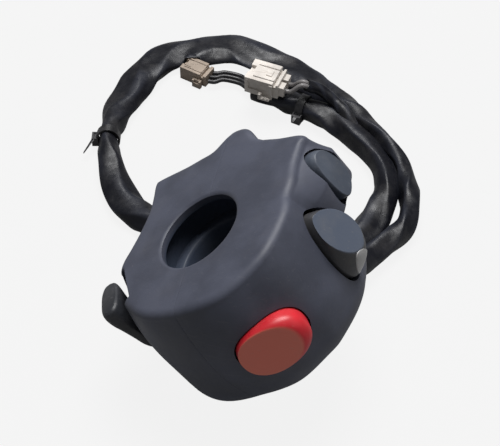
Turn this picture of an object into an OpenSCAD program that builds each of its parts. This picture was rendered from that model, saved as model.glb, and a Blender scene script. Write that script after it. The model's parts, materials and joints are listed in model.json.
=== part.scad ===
// Left-hand handlebar switch cluster with its wiring harness, lying on a table.
// The housing is drawn on the bar axis: z along the bar, with the grip end up,
// x towards the rider and y towards the top of the machine. It then leans on its
// front lower edge, as it lies, and the harness loops behind it.

/* [Handlebar] */
// Outside diameter of the handlebar tube
bar_d = 22.2; // [19:0.1:25.4]
// Gap between the bar and the clamped bore, on the radius
bar_gap = 0.05; // [0.02:0.01:0.1]

/* [Housing] */
// Length of the housing along the bar
body_len = 38; // [37:0.5:44]
// Radius of the housing at its grip end
rim_r = 25; // [24.5:0.25:26.5]
// Largest radius of the housing
belly_r = 29.5; // [29:0.25:32]
// Distance of the widest section below the middle
belly_drop = 3; // [0:0.5:5]
// Distance of the flat rear side, which carries the turn signal knob, from the bar axis
rear_flank = 27.1; // [27:0.1:28.5]
// Angle by which that side faces up from straight back
rear_turn = 6; // [0:1:8]
// Reach of the front side at the grip end, where it is drawn in
front_flank = 21.8; // [21.4:0.1:24]
// Slope of the front side from the grip end, in degrees
front_slope = 27; // [24:1:36]
// Rounding of the inner end
end_round = 8; // [5:0.5:10]
// Rounding of the grip end's rim
rim_round = 2.5; // [1:0.25:3]
// Thickness of the side wall
wall = 2.4; // [1.8:0.1:3]
// Thickness of the wall at the grip end
end_wall = 2.2; // [1.6:0.1:3]
// Depth from the grip end to the inner saddle
land_depth = 9.3; // [8.5:0.1:9.5]
// Wall of the saddle round the bar
saddle_wall = 2; // [1.5:0.1:2.4]
// Gap between the two halves along the seam
seam_gap = 0.1; // [0.05:0.05:0.3]
// Angle by which the bar axis leans as the part lies
lean = 36; // [30:1:40]

/* [Crown] */
// Reach of the front shoulder from the bar axis
front_w = 22.4; // [21:0.2:24]
// Amount the front is drawn in below its shoulder
front_in = 2; // [0.5:0.1:2.4]
// Height of the front shoulder above the bar axis
front_h = 23.2; // [22.4:0.2:25]
// Reach of the rear shoulder, which carries the dimmer rocker
rear_w = 28.4; // [27.6:0.2:30]
// Height of the rear shoulder above the bar axis
rear_h = 24; // [23.8:0.2:26]
// Length of the rear shoulder along the bar
rear_len = 18.5; // [17.8:0.1:20]
// Amount the rear shoulder is cut back at the grip end
rake = 3.6; // [2:0.1:4]
// Length along the bar over which it is cut back
rake_len = 8.5; // [6:0.5:10]
// Rounding of both shoulders
shoulder_r = 2.8; // [1:0.2:4]
// Height of the middle of the crown
ridge_h = 27.2; // [26.4:0.2:29]
// Half width of the middle of the crown
ridge_w = 8; // [6:0.5:10]
// Radius of the round lug on top
lug_r = 4.3; // [3:0.1:5]
// Height of the lug's top above the bar axis
lug_top = 33.3; // [32:0.1:35]
// Length of the lug along the bar
lug_len = 9; // [5:0.5:14]

/* [Housing screws] */
// Diameter of the two screws that close the housing
screw_d = 4; // [3:0.5:4.5]
// Diameter of the screw heads
screw_head_d = 6; // [5.6:0.2:6.2]
// Height of the screw heads
screw_head_h = 2.6; // [2:0.2:3]
// Height of the upper screw above the bar axis
upper_screw_y = 19; // [18.6:0.1:19.4]
// Depth of the upper screw from the grip end
upper_screw_depth = 23; // [22.6:0.1:23.5]
// Height of the lower screw above the bar axis
lower_screw_y = -19.2; // [-19.6:0.1:-18.8]
// Distance of the lower screw from the inner end
lower_screw_rise = 4.4; // [4.2:0.1:4.5]
// Depth of the head seat from the seam
screw_seat = 10; // [8:0.5:12]
// Wall of the screw bosses
boss_wall = 1.8; // [1.5:0.1:2]
// Length of each brass insert
insert_len = 6; // [4:0.5:7]
// Wall of each brass insert
insert_wall = 0.8; // [0.6:0.1:1]
// Clearance round a screw in its hole
screw_gap = 0.05; // [0.02:0.01:0.2]

/* [Buttons] */
// Clearance round a button in its opening
button_gap = 0.45; // [0.35:0.05:0.6]
// Clearance between flat faces that move past each other
face_gap = 0.3; // [0.2:0.05:0.4]
// Running clearance round a pin or stem
run_gap = 0.06; // [0.02:0.01:0.1]
// Distance of the switch seats from the bar axis
seat_r = 14.5; // [14.3:0.1:14.8]

/* [Horn] */
// Angle of the horn button round the bar, from the rider's side
horn_angle = -58; // [-60:1:-56]
// Depth of the horn button from the grip end
horn_depth = 19.5; // [19:0.1:20]
// Length of the horn button round the bar
horn_l = 19.8; // [19:0.2:22]
// Width of the horn button along the bar
horn_w = 15.6; // [15:0.2:17]
// Height of the button's top above the widest section
horn_proud = 3.7; // [2.5:0.1:4.5]
// Radius of the button's dome
horn_dome = 20; // [18:0.5:26]
// Tilt of the button's flat face
horn_tilt = 12; // [6:1:14]
// Travel of the horn button
horn_travel = 2.5; // [1.5:0.1:2.5]
// Overhang of the flange that keeps the button in
horn_lip = 1.1; // [0.8:0.1:1.2]
// Height of the flange's outer face over the switch seats
horn_flange_rise = 10.5; // [10.3:0.1:10.7]

/* [Turn signal] */
// Depth of the knob's middle from the grip end
turn_depth = 15.5; // [15:0.1:16]
// Length of the knob along the bar
turn_l = 21.5; // [20:0.25:22.5]
// Width of the knob round the bar
turn_w = 12.8; // [12:0.2:14]
// Height of the knob's top above the widest section
turn_proud = 4.3; // [3:0.1:5.5]
// Radius of the knob's crowned top
turn_dome = 17; // [15:0.5:22]
// Height of the swing pivot above the switch seat
turn_pivot_rise = 4.4; // [4.3:0.05:4.6]
// Swing of the knob to each side, in degrees
turn_swing = 7; // [4:0.5:7]
// Travel of the knob when it is pushed to cancel
turn_push = 1.5; // [1:0.1:1.5]

/* [Dimmer] */
// Depth of the rocker's middle from the grip end
dimmer_depth = 10; // [9.8:0.05:10.1]
// Distance of the rocker's middle below the top of the rear shoulder
dimmer_drop = 6.8; // [6.7:0.05:7]
// Length of the rocker along the bar
dimmer_l = 14; // [12:0.25:14.25]
// Width of the rocker across the bar
dimmer_w = 9.6; // [8.5:0.1:9.7]
// Height of the rocker's face above the rear shoulder
dimmer_proud = 1; // [0.6:0.1:1.6]
// Depth of the rocker's pivot below the rear shoulder
dimmer_pivot_in = 5.9; // [5.4:0.1:6.4]
// Angle between the two rocker positions
dimmer_rock = 10; // [6:1:10]

/* [Passing lever] */
// Angle of the lever round the bar, from the rider's side
pass_angle = -152; // [-154:1:-150]
// Depth of the lever's pivot below the widest section
pass_pivot_in = 7; // [6.8:0.1:7.2]
// Depth of the lever's pivot from the grip end
pass_pivot_depth = 26.5; // [26.2:0.1:26.8]
// Width of the lever's arm
pass_w = 9.6; // [8:0.2:10]
// Thickness of the lever's arm
pass_t = 2.8; // [2.4:0.1:3]
// Width of the finger pad
pad_w = 10.8; // [9:0.2:11]
// Height of the finger pad
pad_h = 5.5; // [4.5:0.1:6]
// Thickness of the finger pad
pad_t = 3.6; // [3:0.1:4]
// Pull of the lever, in degrees
pass_pull = 6.5; // [4:0.5:6.5]

/* [Harness] */
// Diameter of the harness sleeve where it is round
sleeve_d = 7.2; // [6.4:0.1:7.4]
// Diameter of the branch sleeve
branch_d = 3.6; // [3:0.1:4]
// Diameter of one wire
wire_d = 1.4; // [1.2:0.1:1.5]
// Place of the cable outlet towards the rider, from the bar axis
outlet_x = 2.5; // [2.4:0.1:3]
// Height of the cable outlet above the bar axis
outlet_y = 20.4; // [20.2:0.1:20.8]
// Diameter of the cable outlet
outlet_d = 8.8; // [8:0.1:9]
// Angle through which the rubber elbow turns
elbow_turn = 45; // [30:1:50]
// Bend radius of the rubber elbow
elbow_r = 10; // [9:0.25:12]
// Length of the white connector
plug_l = 12; // [11:0.25:13]
// Width of the white connector
plug_w = 8.4; // [7.6:0.1:9]
// Height of the white connector
plug_h = 6; // [5.5:0.1:7]
// Length of the beige connector
socket_l = 9; // [8:0.25:11]
// Width of the beige connector
socket_w = 5.8; // [5:0.1:8]
// Height of the beige connector
socket_h = 4.8; // [4:0.1:6]

/* [Hidden] */
$fn = 64;

// Housing section, worked out from its end and middle radii
grip_z = body_len / 2;
bore_r = bar_d / 2 + bar_gap;
saddle_r = bore_r + saddle_wall;
land_z = grip_z - land_depth;
belly_rise = belly_r - rim_r;
belly_half = grip_z + belly_drop;
belly_arc = (belly_half ^ 2 + belly_rise ^ 2) / (2 * belly_rise);
round_z = grip_z - end_round;
round_c = belly_at(-round_z) - end_round;
rim_c = belly_at(grip_z - rim_round) - rim_round;
reach = belly_r + 20;
cut = 1;
function belly_at(z) = belly_r - belly_arc + sqrt(belly_arc ^ 2 - (z + belly_drop) ^ 2);

// Screw places, as height above the bar axis and place along the bar
screw_places = [[upper_screw_y, grip_z - upper_screw_depth], [lower_screw_y, lower_screw_rise - grip_z]];
boss_r = screw_head_d / 2 + boss_wall / 4;
insert_r = screw_d / 2 + insert_wall;
screw_end = 9;

// Horn switch, on its own line out from the bar
horn_z = grip_z - horn_depth;
horn_top = belly_r + horn_proud;
horn_flange_r = seat_r + horn_flange_rise;
horn_flange_t = 1.2;
horn_face_in = 1.5;
horn_face_t = -2.2;
horn_under = horn_flange_r - horn_flange_t;
horn_base_h = 3.5;
horn_base_top = seat_r + horn_base_h;
horn_base_t = 7.2;
horn_base_a = 8.1;
horn_screw_a = 5.7;
horn_stem_r = 2;
horn_stem_end = seat_r + horn_travel + face_gap;
horn_contact_t = 6.2;
horn_pad_h = 1.2;

// Turn signal switch
turn_z = grip_z - turn_depth;
turn_top = belly_r + turn_proud;
turn_pivot_r = seat_r + turn_pivot_rise;
turn_cap_rise = 5.9;
turn_cap_r = turn_pivot_r + turn_cap_rise;
turn_lever_top = turn_cap_r - turn_push - face_gap;
turn_stem_r = 2.2;
turn_stem_end = turn_lever_top - 0.6;
turn_socket_end = turn_stem_end - turn_push - face_gap / 2;
turn_hub_r = 2.4;
turn_pin_r = 1.2;
turn_lever_w = 3.9;
turn_ear_in = turn_lever_w + face_gap + 0.1;
turn_ear_out = turn_ear_in + 1.6;
turn_floor = seat_r + 0.7;
turn_end_gap = (belly_r - turn_pivot_r) * sin(turn_swing) + face_gap;
turn_screw_a = 4.2;
ball_r = 1.2;
ball_a = turn_hub_r + 0.25 + ball_r;
detent_wall = ball_a + 0.6;
detent_back = turn_pivot_r - seat_r + 3.7;

// Dimmer switch
dimmer_z = grip_z - dimmer_depth;
dimmer_y = rear_h - dimmer_drop;
dimmer_face = rear_w + dimmer_proud;
dimmer_pivot_x = rear_w - dimmer_pivot_in;
dimmer_base_rise = 8.5;
dimmer_seat_x = dimmer_pivot_x - dimmer_base_rise;
dimmer_floor = dimmer_seat_x + 2;
dimmer_screw_a = 4.4;
dimmer_under = dimmer_pivot_x + 2.1;
dimmer_hub_r = 2.2;
dimmer_pin_r = 1.1;
dimmer_ear = 1.2;
dimmer_end = grip_z - end_wall - face_gap - dimmer_z;
dimmer_hub_a = dimmer_end - dimmer_ear - face_gap;
dimmer_shift = (rear_w - dimmer_pivot_x) * sin(dimmer_rock) + face_gap;

// Passing lever
pass_z = grip_z - pass_pivot_depth;
pass_pivot_r = belly_r - pass_pivot_in;
pass_hub_r = 3;
pass_pin_r = 1.5;
pass_hub_end = 1.5;
pass_ear_in = pass_w / 2 + face_gap + 0.1;
pass_ear_out = pass_ear_in + 2.6;
pad_in = 4;
pad_r = belly_r - pad_in;
pad_top = grip_z - 2;
scallop_r = pad_r - (pad_top - pass_z) * sin(pass_pull) - 2 * face_gap;
scallop_depth = 13;
scallop_z = grip_z - scallop_depth;
scallop_t = pad_w / 2 + 0.8;
slot_depth = 19;
slot_z = grip_z - slot_depth;
pass_switch_top = seat_r + 2.9;
pass_switch_w = 7.6;
pass_switch_z = pass_z + pass_hub_r + face_gap;
pass_switch_l = scallop_z - wall - face_gap - pass_switch_z;
pass_plunger_h = 1;

// Cable outlet and elbow
collar = 2;
outlet_r = outlet_d / 2;
elbow_side = 60;
nose = 3;
nose_lap = 0.5;
elbow_tube_r = sleeve_d / 2 + 0.7;
elbow_out = [cos(elbow_side) * sin(elbow_turn), sin(elbow_side) * sin(elbow_turn), -cos(elbow_turn)];
elbow_aside = elbow_r * (1 - cos(elbow_turn));
elbow_end = [
  outlet_x + cos(elbow_side) * elbow_aside,
  outlet_y + sin(elbow_side) * elbow_aside,
  -grip_z - collar - elbow_r * sin(elbow_turn)
];
nose_end = elbow_end + nose * elbow_out;

// The table, level with the housing's lowest point
floor_z = -sin(lean) * round_c - cos(lean) * round_z - end_round;

// Harness route over the table, from the elbow to the sleeve's cut end: each point
// has its place on the table and the width of the sleeve, which is flattened there
loop_points = [
  [29.6, 34.4, 7], [33.9, 42.1, 6.2], [36, 51, 6.2], [34.4, 59.9, 6], [31.9, 68.1, 5.6],
  [25.6, 75.9, 5.5], [18.5, 82.6, 5.8], [10.9, 89.4, 7.4], [2.2, 95.2, 7.8], [-6.8, 101.4, 8.8],
  [-16.8, 106, 10], [-27.1, 108, 10.4], [-37.4, 105.6, 9.8], [-46, 100.5, 10.8], [-51, 92, 11],
  [-53.8, 82, 10.6], [-55.5, 71, 9.2], [-55.2, 61, 7.8], [-51.8, 52, 8.8], [-47.3, 44.3, 9.6],
  [-41.3, 37.5, 9.8], [-32.5, 32.8, 8.4], [-20, 30.6, 7.2], [-7, 30.2, 7.2], [6, 31, 7.2],
  [17.6, 34.4, 7.6], [23.4, 40.6, 8.8], [26.2, 48.1, 9.2], [28, 56, 6.4], [26.2, 64.8, 5.6],
  [21.2, 71.7, 5.5], [14.4, 77.7, 5.8], [9.4, 80.8, 6.4], [4.6, 83.3, 6.4], [-1.2, 85.4, 6.2],
  [-12.1, 88.4, 6.2], [-16.8, 90, 6.4]
];
sleeve_lead = nose_end + 6 * elbow_out;
sleeve_path = concat(
  [to_row(nose_end), to_row(sleeve_lead), [26.6, 29.6, floor_z + sleeve_d / 2 + 0.4]],
  [for (p = loop_points) [p[0], p[1], floor_z + flat_h(p[2]) / 2]]
);
sleeve_widths = concat([sleeve_d, sleeve_d, sleeve_d], [for (p = loop_points) p[2]]);
sleeve_end = sleeve_path[len(sleeve_path) - 1];

// Connectors on the table and the leads that reach them
plug_at = [-12.4, 87.6, floor_z + sleeve_d + plug_h / 2 + 0.5];
plug_turn = -10;
socket_at = [-36.2, 94.8, floor_z + socket_h / 2];
socket_turn = -18;
branch_z = floor_z + sleeve_d + branch_d / 2 + face_gap;
branch_path = [
  [-0.8, 87.4, plug_at[2]], [3.6, 87.6, plug_at[2]], [8.2, 86, branch_z],
  [12, 83, branch_z], [15.4, 79.8, branch_z]
];
// Each tie's point on the route and the side on which its head lies
tie_places = [[37, 1], [20, -1]];
tie_w = 2.6;
tie_t = 1;
tie_slack = 0.3;

function unit(v) = v / norm(v);
function flat_h(width) = sleeve_d * min(1, sleeve_d / width);
function to_row(p) = [
  p[0] * cos(lean) - p[2] * sin(lean), p[1], p[0] * sin(lean) + p[2] * cos(lean)
];
function polar(angle, r, z) = [r * cos(angle), r * sin(angle), z];
function heading(path, i) = unit(path[min(i + 1, len(path) - 1)] - path[max(i - 1, 0)]);
function ring(path, i, wide, high, sides, ref) =
  let (t = heading(path, i), n = unit(cross(t, ref)), b = cross(n, t))
  [for (k = [0 : sides - 1])
    path[i] + wide / 2 * cos(360 * k / sides) * n + high / 2 * sin(360 * k / sides) * b];

// One closed tube along a path, with a ring of corners at each of its points
module tube(path, radius, sides, ref = [0, 0, 1]) {
  size = 2 * radius;
  tube_skin([for (i = [0 : len(path) - 1]) each ring(path, i, size, size, sides, ref)], len(path), sides);
}

module tube_skin(points, rings, sides) {
  skin = [for (i = [0 : rings - 2], k = [0 : sides - 1])
    let (a = i * sides + k, b = i * sides + (k + 1) % sides)
    each [[a, b, b + sides], [a, b + sides, a + sides]]];
  first = [for (k = [sides - 1 : -1 : 0]) k];
  last = [for (k = [0 : sides - 1]) (rings - 1) * sides + k];
  polyhedron(points, concat(skin, [first, last]));
}

// A coil spring along z, from one height to the other
module coil(from, to, mean_r, wire_r, turns) {
  steps = ceil(turns * 10);
  rise = to - from - 2 * wire_r;
  path = [for (i = [0 : steps])
    polar(360 * turns * i / steps, mean_r, from + wire_r + rise * i / steps)];
  tube(path, wire_r, 6);
}

// An oval with round ends, its length along x
module oval(length, width) {
  for (side = [-1, 1]) translate([side * (length - width) / 2, 0]) circle(d = width);
  square([length - width, width], center = true);
}

// Places children on a line out from the bar: x outward, y round it, z along it
module outward(angle, z) {
  rotate([0, 0, angle]) translate([0, 0, z]) children();
}

// Extrudes an outline, drawn round the bar by along it, between two distances
module rise(from, to) {
  translate([from, 0, 0]) rotate([90, 0, 90]) linear_extrude(to - from) children();
}

// Extrudes an outline, drawn outward by along the bar, between two widths
module across(from, to) {
  translate([0, to, 0]) rotate([90, 0, 0]) linear_extrude(to - from) children();
}

module leaning() {
  rotate([0, -lean, 0]) children();
}

// Half section of the barrel, radius by height, set in by a wall
module barrel_section(inset, top) {
  intersection() {
    translate([belly_r - belly_arc, -belly_drop]) circle(belly_arc - inset, $fn = 240);
    translate([0, -round_z]) square([reach, top + round_z]);
  }
  translate([0, inset - grip_z]) square([round_c, end_round - inset]);
  translate([round_c, -round_z]) circle(end_round - inset);
}

// What the barrel loses at its sides, set in by a wall: the rear one is flat behind the
// knob, the front one is drawn in towards the grip end
module flank_cuts(inset) {
  rotate([0, 0, rear_turn]) translate([rear_flank - inset, -reach, -reach])
    cube([reach, 2 * reach, 2 * reach]);
  translate([inset / cos(front_slope) - front_flank, 0, grip_z]) rotate([0, front_slope, 0])
    translate([-reach, -reach, -2 * reach]) cube([reach, 2 * reach, 3 * reach]);
}

module barrel() {
  rotate_extrude($fn = 128) intersection() {
    barrel_section(0, grip_z);
    union() {
      translate([0, -grip_z]) square([rim_c, body_len]);
      translate([0, -grip_z]) square([reach, body_len - rim_round]);
      translate([rim_c, grip_z - rim_round]) circle(rim_round);
    }
  }
}

// The crown across the top: front shoulder and middle over the full length
module crown() {
  translate([0, 0, -grip_z]) linear_extrude(body_len) {
    polygon([
      [front_in - front_w, 0], [front_in - front_w, front_h - 4 * shoulder_r],
      [-front_w, front_h - shoulder_r], [-front_w + shoulder_r, front_h],
      [-ridge_w, ridge_h], [ridge_w, ridge_h], [ridge_w + 4, rear_h + 1], [ridge_w + 4, 0]
    ]);
    translate([shoulder_r - front_w, front_h - shoulder_r]) circle(shoulder_r);
  }
  rear_shoulder();
  translate([0, 0, grip_z - lug_len]) linear_extrude(lug_len) {
    translate([1, lug_top - lug_r]) circle(lug_r);
    polygon([[-ridge_w, ridge_h - 2], [-2, lug_top - 2], [5, lug_top - 3], [ridge_w + 2, ridge_h - 2]]);
  }
}

// The rear shoulder stands out towards the rider and is raked at the grip end
module rear_shoulder() {
  difference() {
    translate([0, 0, grip_z - rear_len]) linear_extrude(rear_len) {
      polygon([
        [ridge_w, 0], [ridge_w, ridge_h], [rear_w - shoulder_r, rear_h],
        [rear_w, rear_h - shoulder_r], [rear_w, 12], [rear_w - 2, 10], [rear_w - 2, 0]
      ]);
      translate([rear_w - shoulder_r, rear_h - shoulder_r]) circle(shoulder_r);
    }
    translate([rear_w - rake, -reach, grip_z]) rotate([0, atan2(rake_len, rake) - 90, 0])
      translate([0, 0, -reach]) cube([reach, 2 * reach, 2 * reach]);
  }
}

// The space inside, kept below the wall of the crown
module hollow() {
  difference() {
    rotate_extrude($fn = 128) barrel_section(wall, grip_z - end_wall);
    translate([-reach, ridge_h - wall, -reach]) cube(2 * reach);
    flank_cuts(wall);
  }
}

module bar_bore() {
  translate([0, 0, -grip_z - cut]) cylinder(r = bore_r, h = body_len + 2 * cut);
}

// Keeps one side of the seam: 1 towards the rider, -1 the front
module one_side(side) {
  depth = side > 0 ? seam_gap / 2 : -reach - seam_gap / 2;
  translate([depth, -reach, -reach]) cube([reach, 2 * reach, 2 * reach]);
}

// A round bar across the seam, by side, at one screw's place
module along_screw(place, from, to, r) {
  translate([from, place[0], place[1]]) rotate([0, 90, 0]) cylinder(r = r, h = to - from);
}

// A web that carries the upper screw boss from the crown
module boss_rib(from, to) {
  translate([from, upper_screw_y, grip_z - upper_screw_depth - wall])
    cube([to - from, ridge_h - wall / 2 - upper_screw_y, 2 * wall]);
}

module seat_pad(angle, z, half_t, from, to) {
  outward(angle, z) rise(bore_r - cut, seat_r)
    translate([-half_t, from]) square([2 * half_t, to - from]);
}

module saddle() {
  translate([0, 0, -grip_z]) cylinder(r = saddle_r, h = land_z + grip_z);
}

// One hollow half of the housing, before its inner parts and openings
module half_shell(side) {
  difference() {
    union() {
      difference() {
        intersection() {
          barrel();
          one_side(side);
        }
        flank_cuts(0);
      }
      intersection() {
        crown();
        one_side(side);
      }
    }
    hollow();
  }
}

module outlet_hole() {
  translate([outlet_x, outlet_y, -grip_z - cut]) cylinder(r = outlet_r, h = end_round);
}

module front_half() {
  color("dimgray") leaning() difference() {
    union() {
      half_shell(-1);
      intersection() {
        union() {
          saddle();
          for (place = screw_places) along_screw(place, -screw_seat - 3, 0, boss_r);
          boss_rib(-screw_seat - 3, 0);
          seat_pad(pass_angle, 0, 4, pass_z + 3.2, pass_z + 13);
          difference() {
            scallop_block();
            flank_cuts(wall / 4);
          }
          pass_ears();
        }
        one_side(-1);
      }
    }
    bar_bore();
    for (place = screw_places) {
      along_screw(place, -reach, cut, screw_d / 2 + screw_gap);
      along_screw(place, -reach, -screw_seat, screw_head_d / 2 + 4 * screw_gap);
    }
    outward(pass_angle, 0) {
      rise(scallop_r, reach) translate([-scallop_t, scallop_z])
        square([2 * scallop_t, grip_z]);
      rise(saddle_r + cut, reach) translate([-pass_w / 2 - 0.8, slot_z])
        square([pass_w + 1.6, scallop_z - slot_z + cut]);
      across(-pass_ear_out - cut, pass_ear_out + cut)
        translate([pass_pivot_r, pass_z]) circle(pass_pin_r + screw_gap / 2);
    }
    outlet_hole();
  }
}

// Thick wall behind the relief that the finger pad moves into
module scallop_block() {
  outward(pass_angle, 0) rise(scallop_r - wall, scallop_r + 2.8)
    translate([-scallop_t - wall, scallop_z - wall])
      square([2 * (scallop_t + wall), grip_z - 5 - scallop_z + wall]);
}

// The two ears inside the front half that hold the lever's pin
module pass_ears() {
  outward(pass_angle, 0) for (side = [-1, 1])
    across(min(side * pass_ear_in, side * pass_ear_out), max(side * pass_ear_in, side * pass_ear_out))
      translate([bore_r, pass_z - pass_hub_r])
        square([pass_pivot_r + pass_hub_r - 0.7 - bore_r, 2 * pass_hub_r]);
}

// The ledge behind the dimmer switch, with a web down to the saddle
module dimmer_shelf() {
  shelf_x = dimmer_seat_x - 9;
  shelf_z = dimmer_z - dimmer_end;
  translate([shelf_x, dimmer_y - 4.2, shelf_z]) cube([9, 8.4, 2 * dimmer_end]);
  translate([shelf_x, saddle_r - 4, shelf_z]) cube([wall, dimmer_y - saddle_r, land_z - shelf_z]);
}

module rear_half() {
  color("dimgray") leaning() difference() {
    union() {
      difference() {
        half_shell(1);
        dimmer_pocket();
      }
      intersection() {
        union() {
          saddle();
          for (place = screw_places) along_screw(place, 0, screw_end + 1, boss_r);
          boss_rib(0, screw_end + 1);
          seat_pad(horn_angle, horn_z, horn_base_t, -horn_base_a, horn_base_a);
          seat_pad(0, turn_z, turn_ear_out, -detent_back, land_z - turn_z);
          dimmer_shelf();
        }
        one_side(1);
      }
    }
    bar_bore();
    for (place = screw_places)
      along_screw(place, -cut, screw_end, insert_r + screw_gap);
    horn_opening();
    turn_opening();
    dimmer_opening();
    outlet_hole();
    base_screw_places() translate([-2.2, 0, 0]) rotate([0, 90, 0])
      cylinder(r = base_screw_r + screw_gap, h = 4);
  }
}

module horn_opening() {
  outward(horn_angle, horn_z) {
    rise(horn_flange_r - cut, reach) oval(horn_l + 2 * button_gap, horn_w + 2 * button_gap);
    rise(horn_base_top, horn_flange_r + face_gap)
      oval(horn_l + 2 * (horn_lip + button_gap), horn_w + 2 * (horn_lip + button_gap));
  }
}

module turn_opening() {
  outward(0, turn_z) rise(turn_cap_r - turn_push - 1.5, reach)
    rotate(90) oval(turn_l + 2 * turn_end_gap, turn_w + 2 * button_gap);
}

module dimmer_pocket() {
  translate([dimmer_seat_x, dimmer_y - dimmer_w / 2 - 1, dimmer_z - dimmer_end])
    cube([rear_w - wall - dimmer_seat_x, dimmer_w + 1.6, 2 * dimmer_end]);
}

module dimmer_opening() {
  translate([0, dimmer_y, dimmer_z]) rise(dimmer_pivot_x, reach) {
    rotate(90) oval(dimmer_l + 2 * button_gap, dimmer_w + 2 * button_gap);
    translate([-dimmer_shift, 0]) rotate(90) oval(dimmer_l + 2 * button_gap, dimmer_w);
  }
}

module housing_screws() {
  color("silver") leaning() for (place = screw_places) {
    along_screw(place, -screw_seat, screw_end - 0.5, screw_d / 2);
    difference() {
      along_screw(place, -screw_seat - screw_head_h, -screw_seat, screw_head_d / 2);
      translate([-screw_seat - screw_head_h, place[0], place[1]])
        for (turn = [0, 90]) rotate([turn, 0, 0]) cube([2.4, 0.9, 3.6], center = true);
    }
  }
}

module screw_inserts() {
  color("goldenrod") leaning() for (place = screw_places) difference() {
    along_screw(place, screw_end - insert_len, screw_end, insert_r);
    along_screw(place, 0, screw_end + cut, screw_d / 2 + screw_gap / 2);
  }
}

// Places of the small screws that hold the switch bases, each at its base's face
base_screw_r = 1.2;
module base_screw_places() {
  outward(horn_angle, horn_z) for (side = [-1, 1]) translate([seat_r, 0, side * horn_screw_a]) children();
  outward(0, turn_z) translate([seat_r, 0, turn_screw_a]) children();
  translate([dimmer_seat_x, dimmer_y, dimmer_z - dimmer_screw_a]) children();
}

module base_screw(grip) {
  rotate([0, 90, 0]) {
    translate([0, 0, -2]) cylinder(r = base_screw_r, h = grip + 2);
    translate([0, 0, grip]) cylinder(r = 1.7, h = 1);
  }
}

module base_screws() {
  color("silver") leaning() {
    outward(horn_angle, horn_z) for (side = [-1, 1])
      translate([seat_r, 0, side * horn_screw_a]) base_screw(horn_base_top - seat_r);
    outward(0, turn_z) translate([seat_r, 0, turn_screw_a]) base_screw(turn_floor - seat_r);
    translate([dimmer_seat_x, dimmer_y, dimmer_z - dimmer_screw_a]) base_screw(dimmer_floor - dimmer_seat_x);
  }
}

// A hole for a base screw, cut at the base's own place
module base_screw_hole() {
  translate([-cut, 0, 0]) rotate([0, 90, 0]) cylinder(r = base_screw_r + screw_gap, h = 8);
}

// The horn button: a domed oval with a slanted flat face, and its keeper flange
module horn_button() {
  color("firebrick") leaning() outward(horn_angle, horn_z) {
    difference() {
      intersection() {
        rise(horn_under, reach) oval(horn_l, horn_w);
        translate([horn_top - horn_dome, 0, 0]) sphere(horn_dome, $fn = 128);
      }
      translate([horn_top - horn_face_in, horn_face_t, 0]) rotate([0, 0, -horn_tilt])
        translate([0, -reach, -reach]) cube([reach, 2 * reach, 2 * reach]);
    }
    rise(horn_under, horn_flange_r) oval(horn_l + 2 * horn_lip, horn_w + 2 * horn_lip);
    rise(horn_stem_end, horn_flange_r) circle(horn_stem_r);
  }
}

module horn_bridge() {
  color("goldenrod") leaning() outward(horn_angle, horn_z) {
    difference() {
      rise(horn_under - 0.6, horn_under) oval(2 * horn_contact_t + 3, 5);
      rise(horn_under - cut, horn_under + cut) circle(horn_stem_r + 0.05);
    }
    for (side = [-1, 1])
      translate([0, side * horn_contact_t, 0])
        rise(horn_base_top + horn_pad_h + horn_travel + face_gap, horn_under) circle(1.2);
  }
}

module horn_spring() {
  color("silver") leaning() outward(horn_angle, horn_z) rotate([0, 90, 0])
    coil(horn_base_top + 0.05, horn_under - 0.65, 3.2, 0.35, 4);
}

module horn_base() {
  color("black") leaning() outward(horn_angle, horn_z) difference() {
    rise(seat_r, horn_base_top) square([2 * horn_base_t, 2 * horn_base_a], center = true);
    rise(seat_r - cut, horn_base_top + cut) circle(horn_stem_r + run_gap);
    for (side = [-1, 1]) translate([seat_r, 0, side * horn_screw_a]) base_screw_hole();
  }
}

module horn_terminals() {
  color("goldenrod") leaning() outward(horn_angle, horn_z) for (side = [-1, 1])
    translate([0, side * horn_contact_t, 0])
      rise(horn_base_top, horn_base_top + horn_pad_h) circle(1);
}

// The turn signal knob: a crowned oval with a slanted thumb pad and its push stem
module turn_knob() {
  color("slategray") leaning() outward(0, turn_z) {
    difference() {
      intersection() {
        rise(turn_cap_r, reach) rotate(90) oval(turn_l, turn_w);
        translate([turn_top - turn_dome, 0, -2]) sphere(turn_dome, $fn = 128);
      }
      translate([turn_top - 0.5, 0, 0]) rotate([0, -16, 0])
        translate([0, -reach, 0]) cube([reach, 2 * reach, reach]);
      turn_marker_block(run_gap / 2);
    }
    rise(turn_stem_end, turn_cap_r + cut) circle(turn_stem_r);
  }
}

// A pale marker set in the knob's inner end
module turn_marker_block(gap) {
  translate([28.6 - gap, -1.6 - gap, -turn_l / 2 - cut])
    cube([2.4 + 2 * gap, 5 + 2 * gap, 2 + gap]);
}

module turn_marker() {
  color("gainsboro") leaning() outward(0, turn_z) intersection() {
    turn_marker_block(0);
    rise(turn_cap_r, reach) rotate(90) oval(turn_l, turn_w);
  }
}

// The swinging lever that carries the knob
module turn_lever() {
  color("ivory") leaning() outward(0, turn_z) difference() {
    union() {
      across(-turn_lever_w, turn_lever_w) {
        translate([turn_pivot_r, 0]) circle(turn_hub_r);
        translate([turn_pivot_r, -turn_hub_r]) square([ball_r + 1, 2 * turn_hub_r]);
        translate([turn_pivot_r + ball_r + 0.8, -3.5])
          square([turn_lever_top - turn_pivot_r - ball_r - 0.8, 7]);
      }
      across(-2.5, 2.5) translate([turn_pivot_r - 2.6, -1]) square([2.6, 2]);
    }
    across(-turn_lever_w - cut, turn_lever_w + cut)
      translate([turn_pivot_r, 0]) circle(turn_pin_r + run_gap);
    rise(turn_socket_end, turn_lever_top + cut) circle(turn_stem_r + run_gap);
  }
}

module turn_wiper() {
  color("goldenrod") leaning() outward(0, turn_z)
    across(-2.5, 2.5) translate([turn_pivot_r - 2.9, -1.6]) square([0.3, 3.2]);
}

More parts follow.
